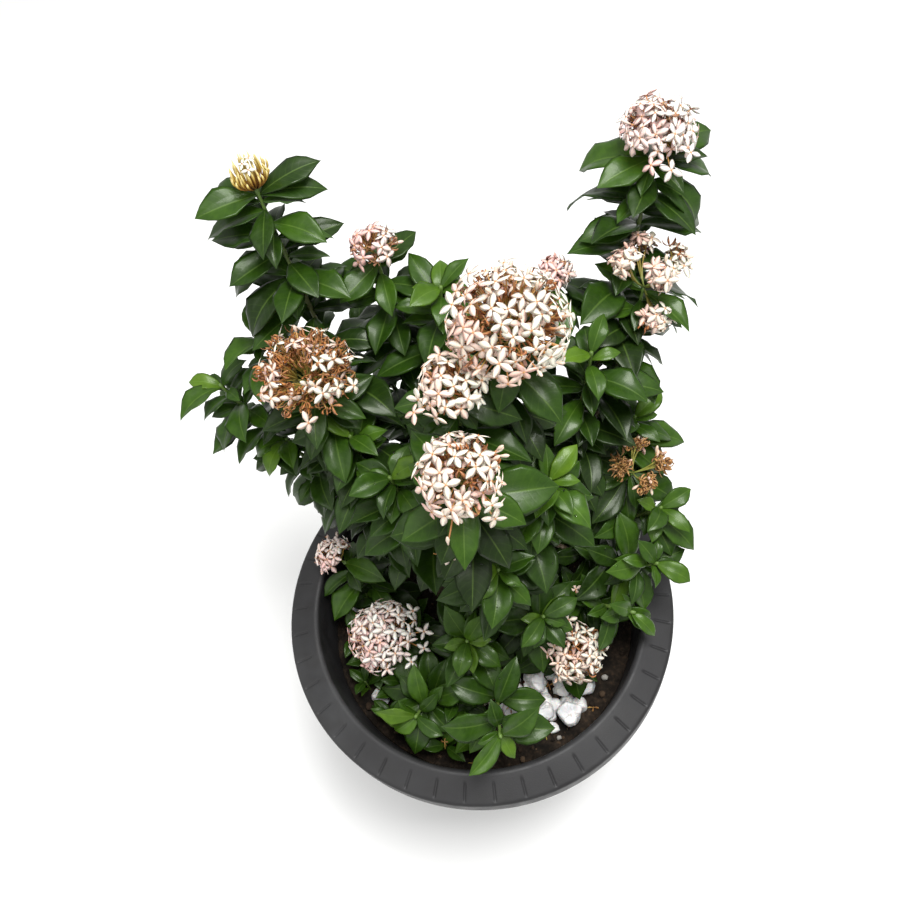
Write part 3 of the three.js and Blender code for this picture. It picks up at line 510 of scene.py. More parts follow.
# Each shoot: what it grows on, where it starts, where its tip is unless it has a flower head, its pairs of
# leaves, the bare share of its stem, the first pair's turn in degrees, and the size of its leaves over the
# usual. Leaves that stand alone have their place along the stem, direction, extra droop and size. An airy
# shoot has few side leaves, and its upper leaves may be longer than those of the solid shoot.
SHOOTS = {
    "back_left": dict(
        on="left", start=(-.062, .146, .51), pairs=8,
        bare=.1, turn=35, leaf=1.08,
        lone=(
            (.97, 270, 20, 1), (.97, 60, 30, 1), (.93, 315, 30, 1),
            (.9, 90, 20, 1), (.8, 80, 0, 1), (.7, 90, 50, 1.2),
            (.6, 120, 50, 1.2), (.6, 170, 0, 1), (.55, 40, 0, 1.1),
            (.5, 0, 0, 1.2),
        )),
    "left_head": dict(on="left", start=(-.076, .112, .45), pairs=5, bare=.2, turn=10),
    "left_upper": dict(
        on="left", start=(-.088, .142, .46), tip=(-.134, .222, .548),
        pairs=5, bare=.2, turn=35, leaf=1.1,
        lone=(
            (.95, 130, 10, 1.2), (.8, 160, 20, 1.2),
        )),
    "left_outer": dict(
        on="left", start=(-.1, .13, .424), tip=(-.189, .21, .508),
        pairs=5, bare=.3, turn=85, leaf=1.15,
        lone=(
            (.97, 120, 10, 1.3), (.75, 140, 30, 1),
        )),
    "left_lower": dict(
        on="left", start=(-.09, .104, .404), tip=(-.142, .16, .462),
        pairs=4, bare=.25, turn=85, leaf=1.1,
        lone=(
            (.97, 140, 50, 1.2), (.95, 100, 50, 1.2), (.1, 75, 0, 1),
        )),
    "left_inner": dict(on="left", start=(-.066, .088, .43), tip=(-.072, .106, .524),
        pairs=5, bare=.1, turn=55),
    "back_head": dict(on="back", start=(-.004, .17, .47), pairs=6, bare=.2, turn=45),
    "back_mid": dict(on="back", start=(.014, .16, .49), tip=(.04, .186, .596),
        pairs=6, bare=.2, turn=35, leaf=1.1),
    "back_right_head": dict(on="back", start=(.06, .15, .47), pairs=4, bare=.25, turn=85),
    "back_low": dict(on="back", start=(-.014, .176, .42), tip=(-.046, .232, .5),
        pairs=3, bare=.3, turn=5, leaf=1.1),
    "back_low_right": dict(on="back", start=(.03, .17, .4), tip=(.072, .226, .486),
        pairs=4, bare=.3, turn=15, leaf=1.1),
    "top_head": dict(on="centre", start=(.046, .034, .51), pairs=6, bare=.3, turn=25),
    "mid_head": dict(on="centre", start=(.022, .024, .53), pairs=5, bare=.25, turn=60),
    "front_head": dict(on="centre", start=(.016, -.012, .51), pairs=5, bare=.25, turn=5, leaf=1.15),
    "centre_right": dict(on="centre", start=(.044, -.008, .47), tip=(.084, -.004, .56),
        pairs=6, bare=.25, turn=35, leaf=1.1),
    "centre_front": dict(on="centre", start=(.02, -.02, .43), tip=(.026, -.048, .51),
        pairs=5, bare=.2, turn=80),
    "centre_left": dict(on="centre", start=(-.01, .014, .44), tip=(-.044, .048, .536),
        pairs=6, bare=.2, turn=15, leaf=1.1),
    "tall_right": dict(
        on="right", start=(.146, .1, .49), pairs=8,
        bare=.05, turn=15, leaf=1.12,
        lone=(
            (.97, 300, 0, 1.3), (.95, 270, 30, 1.3), (.95, 60, 50, 1.2),
            (.88, 240, 50, 1.1), (.8, 50, 50, 1.3), (.75, 270, 20, 1.2),
            (.7, 100, 0, .9), (.65, 260, 20, 1.3), (.6, 90, 20, 1),
            (.5, 250, 10, 1.2), (.4, 240, 20, 1.2), (.3, 270, 0, 1.2),
            (.3, 0, 0, 1),
        )),
    "loose_head": dict(on="right", start=(.158, .092, .49), pairs=3, bare=.35, turn=20),
    "right_mid": dict(
        on="right", start=(.126, .078, .47), tip=(.15, .1, .566),
        pairs=4, bare=.15, turn=40, leaf=1.1,
        lone=(
            (.6, 250, 0, 1.3), (.1, 260, 20, 1.3),
        )),
    "right_head": dict(on="right", start=(.136, .062, .38), pairs=5, bare=.15, turn=45),
    "right_outer": dict(
        on="right", start=(.14, .076, .41), tip=(.19, .086, .462),
        pairs=4, bare=.25, turn=45,
        lone=(
            (.65, 255, 0, 1.3), (.5, 225, 0, 1.3),
        )),
    "right_low": dict(
        on="right", start=(.12, .04, .37), tip=(.194, .01, .412),
        pairs=4, bare=.3, turn=25,
        lone=(
            (.97, 210, 0, 1), (.8, 225, 10, 1.3),
        )),
    "right_front": dict(on="right", start=(.1, .02, .35), tip=(.176, -.036, .392),
        pairs=5, bare=.25, turn=30),
    "low_right": dict(on="soil", start=(.076, -.01), tip=(.146, -.066, .356),
        pairs=5, bare=.45, turn=55),
    "low_mid_right": dict(on="soil", start=(.044, -.032), tip=(.058, -.058, .39),
        pairs=6, bare=.35, turn=15),
    "low_right_head": dict(on="soil", start=(.062, -.058), pairs=3, bare=.3, turn=45),
    "low_mid": dict(on="soil", start=(-.014, -.038), tip=(-.018, -.058, .376),
        pairs=6, bare=.35, turn=40),
    "low_front": dict(on="soil", start=(-.002, -.084), tip=(-.009, -.15, .366),
        pairs=4, bare=.5, turn=52, airy=True, longer=1.28),
    "low_left_front": dict(on="soil", start=(-.058, -.07), tip=(-.086, -.104, .33),
        pairs=5, bare=.3, turn=65),
    "low_left_head": dict(on="soil", start=(-.076, -.024), pairs=3, bare=.3, turn=10),
    "left_wall_head": dict(on="soil", start=(-.094, .04), pairs=3, bare=.4, turn=35),
}
# Each flower head, by its shoot: its middle and radius, the florets of the solid head, its form and colour,
# the share of brown florets inside it, which also darken its depths as painted shade, and how far down its
# sides the florets reach, in degrees.
HEADS = {
    "back_left": dict(at=(-.088, .252, .702), radius=.015, florets=16, form="buds", colour="bud"),
    "left_head": dict(at=(-.09, .135, .584), radius=.041, florets=22, form="dome", colour="withering"),
    "back_head": dict(at=(-.008, .225, .618), radius=.021, florets=8, form="dome", colour="rosy"),
    "back_right_head": dict(at=(.143, .183, .577), radius=.014, florets=5, form="dome", colour="rosy"),
    "top_head": dict(at=(.074, .058, .69), radius=.043, florets=26,
        form="dome", colour="white", reach=120),
    "mid_head": dict(at=(.025, .037, .661), radius=.025, florets=9, form="dome", colour="white"),
    "front_head": dict(at=(.015, -.029, .646), radius=.032, florets=15, form="dome", colour="white"),
    "tall_right": dict(at=(.244, .226, .666), radius=.03, florets=14,
        form="dome", colour="blush", inner=.35),
    "loose_head": dict(at=(.218, .157, .579), radius=.034, florets=12, form="loose", colour="white"),
    "right_head": dict(at=(.179, .043, .44), radius=.026, florets=8, form="loose", colour="withered"),
    "low_right_head": dict(at=(.08, -.078, .322), radius=.03, florets=12,
        form="dome", colour="white", inner=.3),
    "low_left_head": dict(at=(-.098, -.017, .327), radius=.036, florets=18,
        form="dome", colour="blush", inner=.35),
    "left_wall_head": dict(at=(-.133, .078, .342), radius=.02, florets=7, form="dome", colour="blush"),
}
UP = np.array([0, 0, 1.])


def mix(a, b, t):
    """A value that goes straight from a, at t = 0, to b, at t = 1."""
    return a + (b - a) * t


def square_to(axis):
    """Two directions square to an axis, the first as near to +Y as it can be."""
    first = unit(np.array([0, 1, 0]) - axis[..., 1:2] * axis)
    return first, np.cross(axis, first)


def around(axis, angle):
    """The direction square to an axis at an angle round it."""
    first, second = square_to(axis)
    angle = np.asarray(angle)[..., None]
    return np.cos(angle) * first + np.sin(angle) * second


def chance(a, b, c):
    """A repeatable draw from 0 to 1 for whole numbers a, b and c."""
    return fract(np.sin(a * 12.9898 + b * 78.233 + c * 37.719 + 1.7) * 43758.5453)


class Arch:
    """A curve from a foot to an end that is drawn towards a middle point: a quadratic Bezier curve."""

    def __init__(self, foot, middle, end):
        self.foot, self.middle, self.end = (np.array(p, float) for p in (foot, middle, end))

    def point(self, t):
        """Where the curve is at t, from 0 at its foot to 1 at its end."""
        t = np.asarray(t, float)[..., None]
        return (1 - t) ** 2 * self.foot + 2 * t * (1 - t) * self.middle + t * t * self.end

    def tangent(self, t):
        """Which way the curve heads at t."""
        t = np.asarray(t, float)[..., None]
        return unit((1 - t) * (self.middle - self.foot) + t * (self.end - self.middle))

    def on_chord(self, t, steps):
        """The point at t of the straight runs between `steps` + 1 points of the curve."""
        run = min(int(t * steps), steps - 1)
        return mix(self.point(run / steps), self.point((run + 1) / steps), t * steps - run)


def shoot_arch(name):
    """A shoot leaves its branch leaning, and its tip turns up. One from the soil starts straight up. One
    that has a flower head ends below the middle of it."""
    shoot, head = SHOOTS[name], HEADS.get(name)
    end = np.array(head["at"] if head else shoot["tip"], float)
    if shoot["on"] == "soil":
        foot = np.array([*shoot["start"], soil_height(*shoot["start"]) + FOOT_RISE])
        middle = np.array([*foot[:2], mix(foot[2], end[2], .6)])
        if head:
            end = end - HEAD_STALK * head["radius"] * unit(end - middle)
        return Arch(foot, middle, end)
    foot = np.array(shoot["start"], float)
    lean = unit(unit(end - foot) + UP)
    if head:
        end = end - HEAD_STALK * head["radius"] * lean
    return Arch(foot, end - .5 * np.linalg.norm(end - foot) * lean, end)


def tubes(lines, radii, sides):
    """Round tubes along lines of points, of shape (copies, rows, 3): at each point a ring square to the
    line, with its radius. The ends are closed."""
    ahead = np.gradient(lines, axis=1)
    whole = unit(lines[:, -1] - lines[:, 0])
    aside = np.eye(3)[np.abs(whole).argmin(-1)][:, None]
    first = unit(np.cross(aside, unit(ahead)))
    second = np.cross(unit(ahead), first)
    angle = np.linspace(0, 2 * pi, sides, endpoint=False)[:, None]
    ring = np.cos(angle) * first[:, :, None] + np.sin(angle) * second[:, :, None]
    radii = np.broadcast_to(radii, lines.shape[:2])[..., None, None]
    body = lines[:, :, None] + ring * radii
    ends = [np.repeat(lines[:, k, None, None], sides, 2) for k in (0, -1)]
    return np.concatenate([ends[0], body, ends[1]], 1)


bark, tree, shader = new_material("grey_brown_bark", .85, Specular_IOR_Level=.25)
cracks = noise(tree, 420, 5, (1, 1, .16))
tone = ramp(tree, cracks, [(.3, (.035, .024, .015)), (.5, (.10, .075, .048)), (.7, (.20, .165, .12))])
moss = ramp(tree, noise(tree, 30, 3), [(.5, (1, 1, 1)), (.75, (.75, .95, .55))])
tree.links.new(blend(tree, 1.0, tone, moss, "MULTIPLY"), shader.inputs["Base Color"])
bump(tree, shader, cracks, .0012, .8)

limbs = {}
for trunk, data in TRUNKS.items():
    foot = np.array([*data["root"], soil_height(*data["root"]) + FOOT_RISE])
    fork = np.array(data["fork"])
    bend = Arch(foot, [*foot[:2], mix(foot[2], fork[2], .5)], fork)
    t = np.linspace(0, 1, TRUNK["rings"])
    line = np.concatenate([[foot - [0, 0, ROOT_DEPTH]], bend.point(t)])[None]
    flare, knots = .16 * np.exp(-60 * t), .05 * np.sin(37 * t) * np.sin(13 * t + 1)
    girth = np.append(TRUNK["buried"], mix(TRUNK["radius"], TRUNK["top"], t) * (1 + flare + knots))
    parts = [(tubes(line, girth, TRUNK["sides"]), 0, NO_MARKS)]
    for shoot, values in SHOOTS.items():
        if values["on"] != trunk:
            continue
        after = shoot_arch(shoot)
        heading = after.tangent(0)
        end = after.foot - GAP * heading
        across = np.hypot(*(end - foot)[:2])
        fork_at = (end[2] - LIMB["slope"] * across - foot[2]) / (fork[2] - foot[2])
        start = bend.point(np.clip(fork_at, *LIMB["forks"]))
        limb = limbs[shoot] = Arch(start, end - .5 * np.linalg.norm(end - start) * heading, end)
        t = np.linspace(0, 1, LIMB["rings"])
        girth = mix(LIMB["radius"], SHOOT["radius"], t) * (1 + .06 * np.sin(25 * t))
        parts.append((tubes(limb.point(t)[None], girth, LIMB["sides"]), 0, NO_MARKS))
    make_piece(f"bark_{trunk}", parts, [bark], "bark", [f"woody_stem_{trunk}"])

# ---- Leafy shoots --------------------------------------------------------------------------------
# Green stems with opposite pairs of leathery leaves, each pair square to the one below. A leaf has a short
# stalk, a pale midrib and an arched blade that folds up from the midrib, and droops more as it ages.
LEAF_LENGTH = .056
LEAF_ASPECT = .49
LEAF_FOLD = .34  # how far the margins stand above the midrib, over the half width
LEAF_ROOT = .0006  # the first point of a midrib, from the middle of the stem
CURL = .6  # of the margins, over the fold
DIP = .06  # of the tip, over the leaf's length
STALK = dict(half=.0011, reach=.07)  # half its width; the reach is over the leaf's length
THICK = (.0011, .0005)  # a blade at its stalk, and further along
RIB = dict(height=.0003, half=.12)
# Waves of the margins: their height over the half width, and how many there are along the blade.
WAVE = (.13, 1.7)
RUFFLE = (.07, 2.9)
# How far the blades differ: in width, sideways sweep, dip of the tip, fold, curl and twist (radians).
VARIED = dict(width=.3, sweep=.22, dip=.12, fold=.44, curl=.9, twist=1.15)
# The oldest leaves of a shoot, at its foot, and the youngest, at its tip: how far they turn from the stem
# where they start and at their own tips, in degrees, and their size over the usual. Below a flower head the
# top leaves stand further out, and are less young: 0 is the oldest and 1 the youngest.
OLDEST = dict(rise=74, droop=122, size=1.04)
YOUNGEST = dict(rise=40, droop=92, size=.64)
BELOW_HEAD = dict(rise=84, youth=.6)
UNLIKE = dict(bearing=56, rise=18, droop=26, size=.24)  # how far the leaves of the pairs differ
# Side leaves, in two rows: how many steps below a pair, at what angle from it, how large, and their first
# key. A leaf's key, with the number of its shoot, gives its own draws.
SIDE_ROWS = ((.5, 45, .85, 600), (.25, 135, .66, 500))
SIDE_FROM = .04
SIDE_DROOP = 8
LONE_KEY, LIMB_KEY = 300, 900
LIMB_LEAVES = dict(pairs=5, within=(.3, .95), youth=.1, rise=72, droop=120)
TOP_PAIR = .97
LIGHT = np.array([.08, -.36, .8])  # how much, and which way, the leaves lean towards the light
NEAR = .0002  # a leaf stands where a corner of the solid shoot is this close to its tip
# What a leaf tries until it is clear of the rest: its turn round the stem, its lift (degrees) and its size.
LEAF_TRIES = np.array([
    [0, 0, 1], [10, 4, 1], [-10, 4, 1], [0, -14, 1], [0, 12, 1], [18, -8, 1], [-18, -8, 1],
    [14, 14, .9], [-14, 14, .9], [0, -26, .9], [28, 0, .85], [-28, 0, .85], [0, 0, .75],
    [24, -22, .75], [-24, -22, .75], [40, -10, .7], [-40, -10, .7], [0, -34, .7],
])
SIDE_TRIES = np.array([
    [0, 0, .95], [30, -6, .95], [-30, -6, .95], [60, 8, .9], [-60, 8, .9], [0, -22, .85], [85, 0, .85],
    [-85, 0, .85], [20, 10, .7], [-20, 10, .7], [50, -15, .7], [-50, -15, .7], [0, -30, .6],
    [75, -8, .6], [-75, -8, .6], [15, 0, .45], [-40, 0, .45],
])
CALMER = ((1, 1), (.5, 1), (.2, 1), (.2, .94), (.1, .88))  # the waves and size of a leaf that meets another
UPPER = .7  # the leaves above this share of an airy shoot may be longer than the solid ones
ROOT_ROWS = 3  # rows of a blade at its stalk that may touch others
CLEAR = .004  # between added leaves and the soil
ALONG = .5 - .5 * np.cos(np.linspace(0, pi, 12))  # rows of a blade, from its stalk to its tip
# Columns of a blade: over its top, then back underneath.
ACROSS = np.array([-1, -.8, -.4, 0, .4, .8, 1, .8, .4, 0, -.4, -.8])
UNDER = np.repeat([0, 1], [7, 5])
KNOT = dict(swell=.35, width=.016)  # where a pair of leaves stands on its stem
STEM_GRID = dict(rows=40, sides=8)
VEINS = dict(per_metre=165, rise=.0095)  # the rise: how much further along they end at the margin
# A leaf's own tone, from 0 for the darkest green to 1 for the yellowest.
LEAF_TONE, YOUTH_TONE, TONE_VARIED = .33, .55, .5


def poses_at(base, axis, youth, bearing, rise, droop, length, seed, tries):
    """Where a leaf may stand: one row of values for each of its tries. Its midrib is an arc that starts at
    its rise from the axis, in degrees, and ends at its droop from it."""
    turn, lift, smaller = tries.T
    out = around(axis, np.radians(bearing + turn))
    draws = chance(*seed, np.arange(10)) - .5
    return dict(
        base=base + LEAF_ROOT * out,
        axis=np.broadcast_to(axis, out.shape),
        out=out,
        rise=np.radians(rise + lift),
        droop=np.radians(droop + lift),
        length=length * smaller,
        youth=np.full(len(turn), youth),
        draws=np.tile(draws, (len(turn), 1)),
    )


def leaf_poses(name, place, bearing, rise, droop, size, key, tries):
    """Where a leaf of a shoot may stand. The rise, droop and size given come on top of the usual ones."""
    bend = shoot_arch(name)
    headed = name in HEADS
    youth = BELOW_HEAD["youth"] * place if headed else place
    rise = rise + mix(OLDEST["rise"], (BELOW_HEAD if headed else YOUNGEST)["rise"], place ** 2)
    droop = droop + mix(OLDEST["droop"], YOUNGEST["droop"], youth)
    length = LEAF_LENGTH * SHOOTS[name].get("leaf", 1) * mix(OLDEST["size"], YOUNGEST["size"], youth ** 3)
    base = bend.on_chord(place, SHOOT["steps"])
    axis = unit(bend.tangent(place) + LIGHT)
    seed = (list(SHOOTS).index(name), key)
    return poses_at(base, axis, youth, bearing, rise, droop, length * size, seed, tries)


def leaves_of(name):
    """Place, bearing, rise, droop, size and key of each leaf of the solid shoot: the lone ones, then the
    pairs."""
    shoot = SHOOTS[name]
    number = list(SHOOTS).index(name)
    listed = [(place, bearing, 0, droop, size, LONE_KEY + k)
              for k, (place, bearing, droop, size) in enumerate(shoot.get("lone", ()))]
    for key in range(2 * shoot["pairs"]):
        pair, side = divmod(key, 2)
        draw = chance(number, key, np.arange(5)) - .5
        place = mix(shoot["bare"], TOP_PAIR, pair / (shoot["pairs"] - 1))
        bearing = shoot["turn"] + 90 * pair + 180 * side + UNLIKE["bearing"] * draw[1]
        listed.append((place, bearing, UNLIKE["rise"] * draw[2], UNLIKE["droop"] * draw[3],
                       1 + UNLIKE["size"] * draw[4], key))
    return listed


def side_leaves_of(name):
    """Smaller leaves between the pairs, and one pair below them, that fill the shoot out: first two at each
    half step, then two smaller ones at each quarter step, square to them."""
    shoot = SHOOTS[name]
    step = (TOP_PAIR - shoot["bare"]) / (shoot["pairs"] - 1)
    listed = []
    for back, aside, size, first_key in SIDE_ROWS:
        for key in range(2 * shoot["pairs"]):
            pair, side = divmod(key, 2)
            if shoot.get("airy") and pair < shoot["pairs"] - 1:
                continue
            place = max(SIDE_FROM, shoot["bare"] + (pair - back) * step)
            bearing = shoot["turn"] + 90 * pair + aside + 180 * side
            listed.append((place, bearing, 0, SIDE_DROOP, size, first_key + key))
    return listed


def limb_leaves_of(name):
    """Poses of the leaves on the woody limb below a shoot: opposite pairs, each square to the one below."""
    limb = limbs[name]
    number = list(SHOOTS).index(name)
    for key in range(2 * LIMB_LEAVES["pairs"]):
        pair, side = divmod(key, 2)
        place = mix(*LIMB_LEAVES["within"], pair / (LIMB_LEAVES["pairs"] - 1))
        axis = unit(limb.tangent(place) + LIGHT)
        bearing = 30 * number + 90 * pair + 180 * side
        yield poses_at(limb.point(place), axis, LIMB_LEAVES["youth"], bearing, LIMB_LEAVES["rise"],
                       LIMB_LEAVES["droop"], LEAF_LENGTH, (number, LIMB_KEY + key), SIDE_TRIES)


def midribs(pose, t):
    """Points along the midribs and the blades' upward directions there: arcs of the leaf's length."""
    rise, droop, length = (pose[k][:, None] for k in ("rise", "droop", "length"))
    angle = mix(rise, droop, t)
    bend = (length / (droop - rise))[..., None]
    axis, out = pose["axis"][:, None], pose["out"][:, None]
    angle, rise = angle[..., None], rise[..., None]
    point = pose["base"][:, None] + axis * bend * (np.sin(angle) - np.sin(rise))
    point = point + out * bend * (np.cos(rise) - np.cos(angle))
    return point, axis * np.sin(angle) - out * np.cos(angle)


def blades(pose):
    """Leaf blades, of shape (leaves, rows, columns, 3). Across, a blade rises from its midrib and curls over
    towards its margins. Along, it bends with the midrib, with waves at its margins, a twist and a sideways
    sweep. It narrows to a pointed tip that dips."""
    t, s, under = ALONG, ACROSS, UNDER
    draw = pose["draws"].T[:, :, None]
    point, face = midribs(pose, t)
    across = np.cross(pose["out"], pose["axis"])[:, None]
    length = pose["length"][:, None]
    aspect = LEAF_ASPECT * (1 + VARIED["width"] * draw[0])
    half = .5 * aspect * length * np.sin(pi * t ** 1.1) ** (.7 + .5 * t)
    stalk = STALK["half"] * np.exp(-((t / STALK["reach"]) ** 2))
    half = np.maximum(half, stalk * np.sin(pi * np.minimum(t * 30, .5)))
    twist = VARIED["twist"] * draw[5] * t
    side = across * np.cos(twist)[..., None] + face * np.sin(twist)[..., None]
    over = face * np.cos(twist)[..., None] - across * np.sin(twist)[..., None]
    point = point + across * (length * VARIED["sweep"] * draw[6] * t * t)[..., None]
    point = point - face * (length * (DIP + VARIED["dip"] * draw[1]) * t ** 3)[..., None]
    fold = LEAF_FOLD + VARIED["fold"] * draw[7]
    curl = CURL + VARIED["curl"] * draw[3]
    wave = WAVE[0] * np.sin(2 * pi * (WAVE[1] * t + draw[8]))
    ruffle = RUFFLE[0] * np.sin(2 * pi * (RUFFLE[1] * t + draw[2]))
    rise = fold[..., None] * (1.25 * np.abs(s) - curl[..., None] * s ** 2)
    rise = rise + (wave[..., None] * s + ruffle[..., None] * np.abs(s)) * np.abs(s)
    rib = RIB["height"] * np.exp(-((s / RIB["half"]) ** 2))
    rib = rib * np.sin(pi * np.minimum(1, 1.1 * t))[..., None] * (1 - under)
    thick = mix(*THICK, np.minimum(1, t * 4)) * np.sin(pi * t) ** .3
    lift = half[..., None] * rise - rib - thick[..., None] * under * (1 - .4 * np.abs(s))
    aside = side[:, :, None] * (half[..., None] * s)[..., None]
    return point[:, :, None] + aside + over[:, :, None] * lift[..., None]


def leaf_material():
    """Dark glossy green, with paler veins that curve out from the midrib, a dull pale underside and yellower
    young leaves. Marks: the place across the blade, the length along it, the leaf's own tone and whether it
    is underneath."""
    made, tree, shader = new_material(
        "glossy_leaf", .3, Specular_IOR_Level=.24, Specular_Tint=(.85, .92, .75, 1),
        Coat_Weight=.07, Coat_Roughness=.09)
    across, along, own, under = read_marks(tree)
    under = math(tree, "GREATER_THAN", under, .5)
    aside = math(tree, "ABSOLUTE", across)
    further = math(tree, "MULTIPLY", math(tree, "POWER", aside, 1.4), VEINS["rise"])
    slant = math(tree, "SUBTRACT", along, further)
    phase = math(tree, "FRACT", math(tree, "MULTIPLY", slant, VEINS["per_metre"]))
    off_vein = math(tree, "MULTIPLY", math(tree, "ABSOLUTE", math(tree, "SUBTRACT", phase, .5)), 9)
    vein = math(tree, "MAXIMUM", math(tree, "SUBTRACT", 1, off_vein), 0)
    off_rib = math(tree, "MULTIPLY", aside, 14)
    rib = math(tree, "MAXIMUM", math(tree, "SUBTRACT", 1, off_rib), 0)
    green = ramp(tree, own, [(0, (.007, .018, .002)), (.4, (.016, .044, .003)),
                             (.7, (.033, .080, .006)), (1, (.105, .190, .014))])
    mottle = ramp(tree, noise(tree, 110, 4), [(.3, (.74, .78, .70)), (.7, (1.25, 1.18, 1.0))])
    green = blend(tree, 1.0, green, mottle, "MULTIPLY")
    green = blend(tree, math(tree, "MULTIPLY", vein, .07), green, (.075, .14, .020, 1))
    green = blend(tree, math(tree, "MULTIPLY", rib, .35), green, (.12, .20, .035, 1))
    pale = blend(tree, math(tree, "MULTIPLY", vein, .15), (.046, .125, .012, 1), (.09, .16, .035, 1))
    tree.links.new(blend(tree, under, green, pale), shader.inputs["Base Color"])
    cloudy = math(tree, "MULTIPLY", noise(tree, 60, 2), .4)
    dull = math(tree, "ADD", math(tree, "MULTIPLY", under, .3), cloudy)
    tree.links.new(math(tree, "ADD", dull, .17), shader.inputs["Roughness"])
    grooves = math(tree, "ADD", math(tree, "MULTIPLY", vein, .25), rib)
    bump(tree, shader, math(tree, "SUBTRACT", noise(tree, 240, 2), grooves), .0002, .5)
    return made


def stem_material():
    """Green at the tip, browner and duller towards the wood. Marks: how young it is."""
    made, tree, shader = new_material("green_stem", .5)
    young = read_marks(tree)[0]
    tone = ramp(tree, young, [(0, (.085, .06, .035)), (.35, (.07, .075, .02)), (1, (.09, .16, .025))])
    streaks = ramp(tree, noise(tree, 500, 3, (1, 1, .2)), [(.3, (.7, .7, .7)), (.7, (1.2, 1.2, 1.2))])
    tree.links.new(blend(tree, 1.0, tone, streaks, "MULTIPLY"), shader.inputs["Base Color"])
    bump(tree, shader, noise(tree, 700, 3, (1, 1, .2)), .0004, .6)
    return made


def picked(poses, row):
    """One of the tries of a leaf."""
    return {key: value[row:row + 1] for key, value in poses.items()}


def joined(leaves):
    """The values of many leaves, one row for each."""
    return {key: np.concatenate([leaf[key] for leaf in leaves]) for key in leaves[0]}


def leaf_marks(pose, tone, by_youth=0):
    """The marks of blades. The leaves' own tones vary round the one given, and may be higher for young
    ones."""
    along = ALONG[:, None] * pose["length"][:, None, None]
    own = tone + TONE_VARIED * pose["draws"][:, 9] + by_youth * (pose["youth"] - .5)
    own = np.clip(own, 0, .98)[:, None, None]
    return np.stack(np.broadcast_arrays(ACROSS, along, own, UNDER), -1)


def blade_tree(surface, from_row=0):
    """A search tree of one blade's faces, from a row of it on."""
    faces = quads(surface.shape[0] - from_row, surface.shape[1], 1)
    return BVHTree.FromPolygons(surface[from_row:].reshape(-1, 3).tolist(), faces.tolist())


grown = {name: [] for name in SHOOTS}
for name in SHOOTS:
    corners = np.array([v.co for v in frame["nodes"][f"shoot_{name}"].data.vertices])
    for leaf in leaves_of(name):
        poses = leaf_poses(name, *leaf, LEAF_TRIES)
        tips = midribs(poses, np.array([1.0]))[0][:, 0]
        misses = np.linalg.norm(tips[:, None] - corners, axis=-1).min(1)
        if misses.min() < NEAR:
            grown[name].append(picked(poses, misses.argmin()))

# Every leaf stands where it is clear of the other leaves, the heads, the stones and the woody stems.
standing, spans = [], []


def stand(tree, points):
    """Add something that later leaves have to be clear of."""
    standing.append(tree)
    spans.append((points.min(0), points.max(0)))


def is_clear(surface):
    """Whether a blade, apart from its lowest rows, meets nothing that stands."""
    points = surface[ROOT_ROWS:].reshape(-1, 3)
    lows, highs = (np.array(ends) for ends in zip(*spans))
    near = np.flatnonzero(((lows < points.max(0)) & (highs > points.min(0))).all(1))
    mine = blade_tree(surface, ROOT_ROWS)
    return not any(mine.overlap(standing[k]) for k in near)


def first_clear(poses, lowest, widest=np.inf):
    """The first of a leaf's tries that meets nothing and stays above a height and within a radius. It then
    stands. The list is empty where there is no such try."""
    for row, surface in enumerate(blades(poses)):
        inside = np.hypot(surface[..., 0], surface[..., 1]).max() < widest
        if inside and surface[ROOT_ROWS:, :, 2].min() > lowest and is_clear(surface):
            stand(blade_tree(surface), surface.reshape(-1, 3))
            return [picked(poses, row)]
    return []


for node_name, node in frame["nodes"].items():
    if not node_name.startswith("shoot_"):
        faces = [tuple(f.vertices) for f in node.data.polygons]
        points = np.array([v.co for v in node.data.vertices])
        stand(BVHTree.FromPolygons(points.tolist(), faces), points)
for name in SHOOTS:
    for leaf in grown[name]:
        draws, length = leaf["draws"], leaf["length"]
        longer = SHOOTS[name].get("longer", 1) if leaf["youth"] > UPPER else 1
        for wavy, size in ((1, longer), *CALMER):
            leaf["draws"], leaf["length"] = draws * wavy, length * size
            surface = blades(leaf)[0]
            if is_clear(surface):
                break
        leaf["draws"][:, 9] = draws[:, 9]
        stand(blade_tree(surface, 1), surface.reshape(-1, 3))
for name in SHOOTS:
    added = [leaf_poses(name, *leaf, SIDE_TRIES) for leaf in side_leaves_of(name)]
    if name in limbs:
        added += limb_leaves_of(name)
    for poses in added:
        grown[name] += first_clear(poses, SOIL_HEIGHT + CLEAR)

leaf_green, stem_green = leaf_material(), stem_material()
for name, shoot in SHOOTS.items():
    pose = joined(grown[name])
    look = leaf_marks(pose, LEAF_TONE, YOUTH_TONE)
    t = np.linspace(0, 1, STEM_GRID["rows"])
    line = shoot_arch(name).point(t)
    places = mix(shoot["bare"], TOP_PAIR, np.arange(shoot["pairs"]) / (shoot["pairs"] - 1))
    swell = KNOT["swell"] * np.exp(-((t[:, None] - places) / KNOT["width"]) ** 2).sum(1)
    girth = mix(SHOOT["radius"], SHOOT["tip"], t) * (1 + swell)
    if shoot["on"] == "soil":
        line = np.concatenate([[line[0] - [0, 0, ROOT_DEPTH]], line])
        girth = np.append(girth[0], girth)
        t = np.append(0, t)
    youth = np.concatenate([[0], t, [1]])[None, :, None, None] * np.ones(4)
    stem = tubes(line[None], girth, STEM_GRID["sides"])
    parts = [(blades(pose), 0, look), (stem, 1, youth)]
    make_piece(f"leafy_{name}", parts, [leaf_green, stem_green], "leaves", [f"shoot_{name}"])

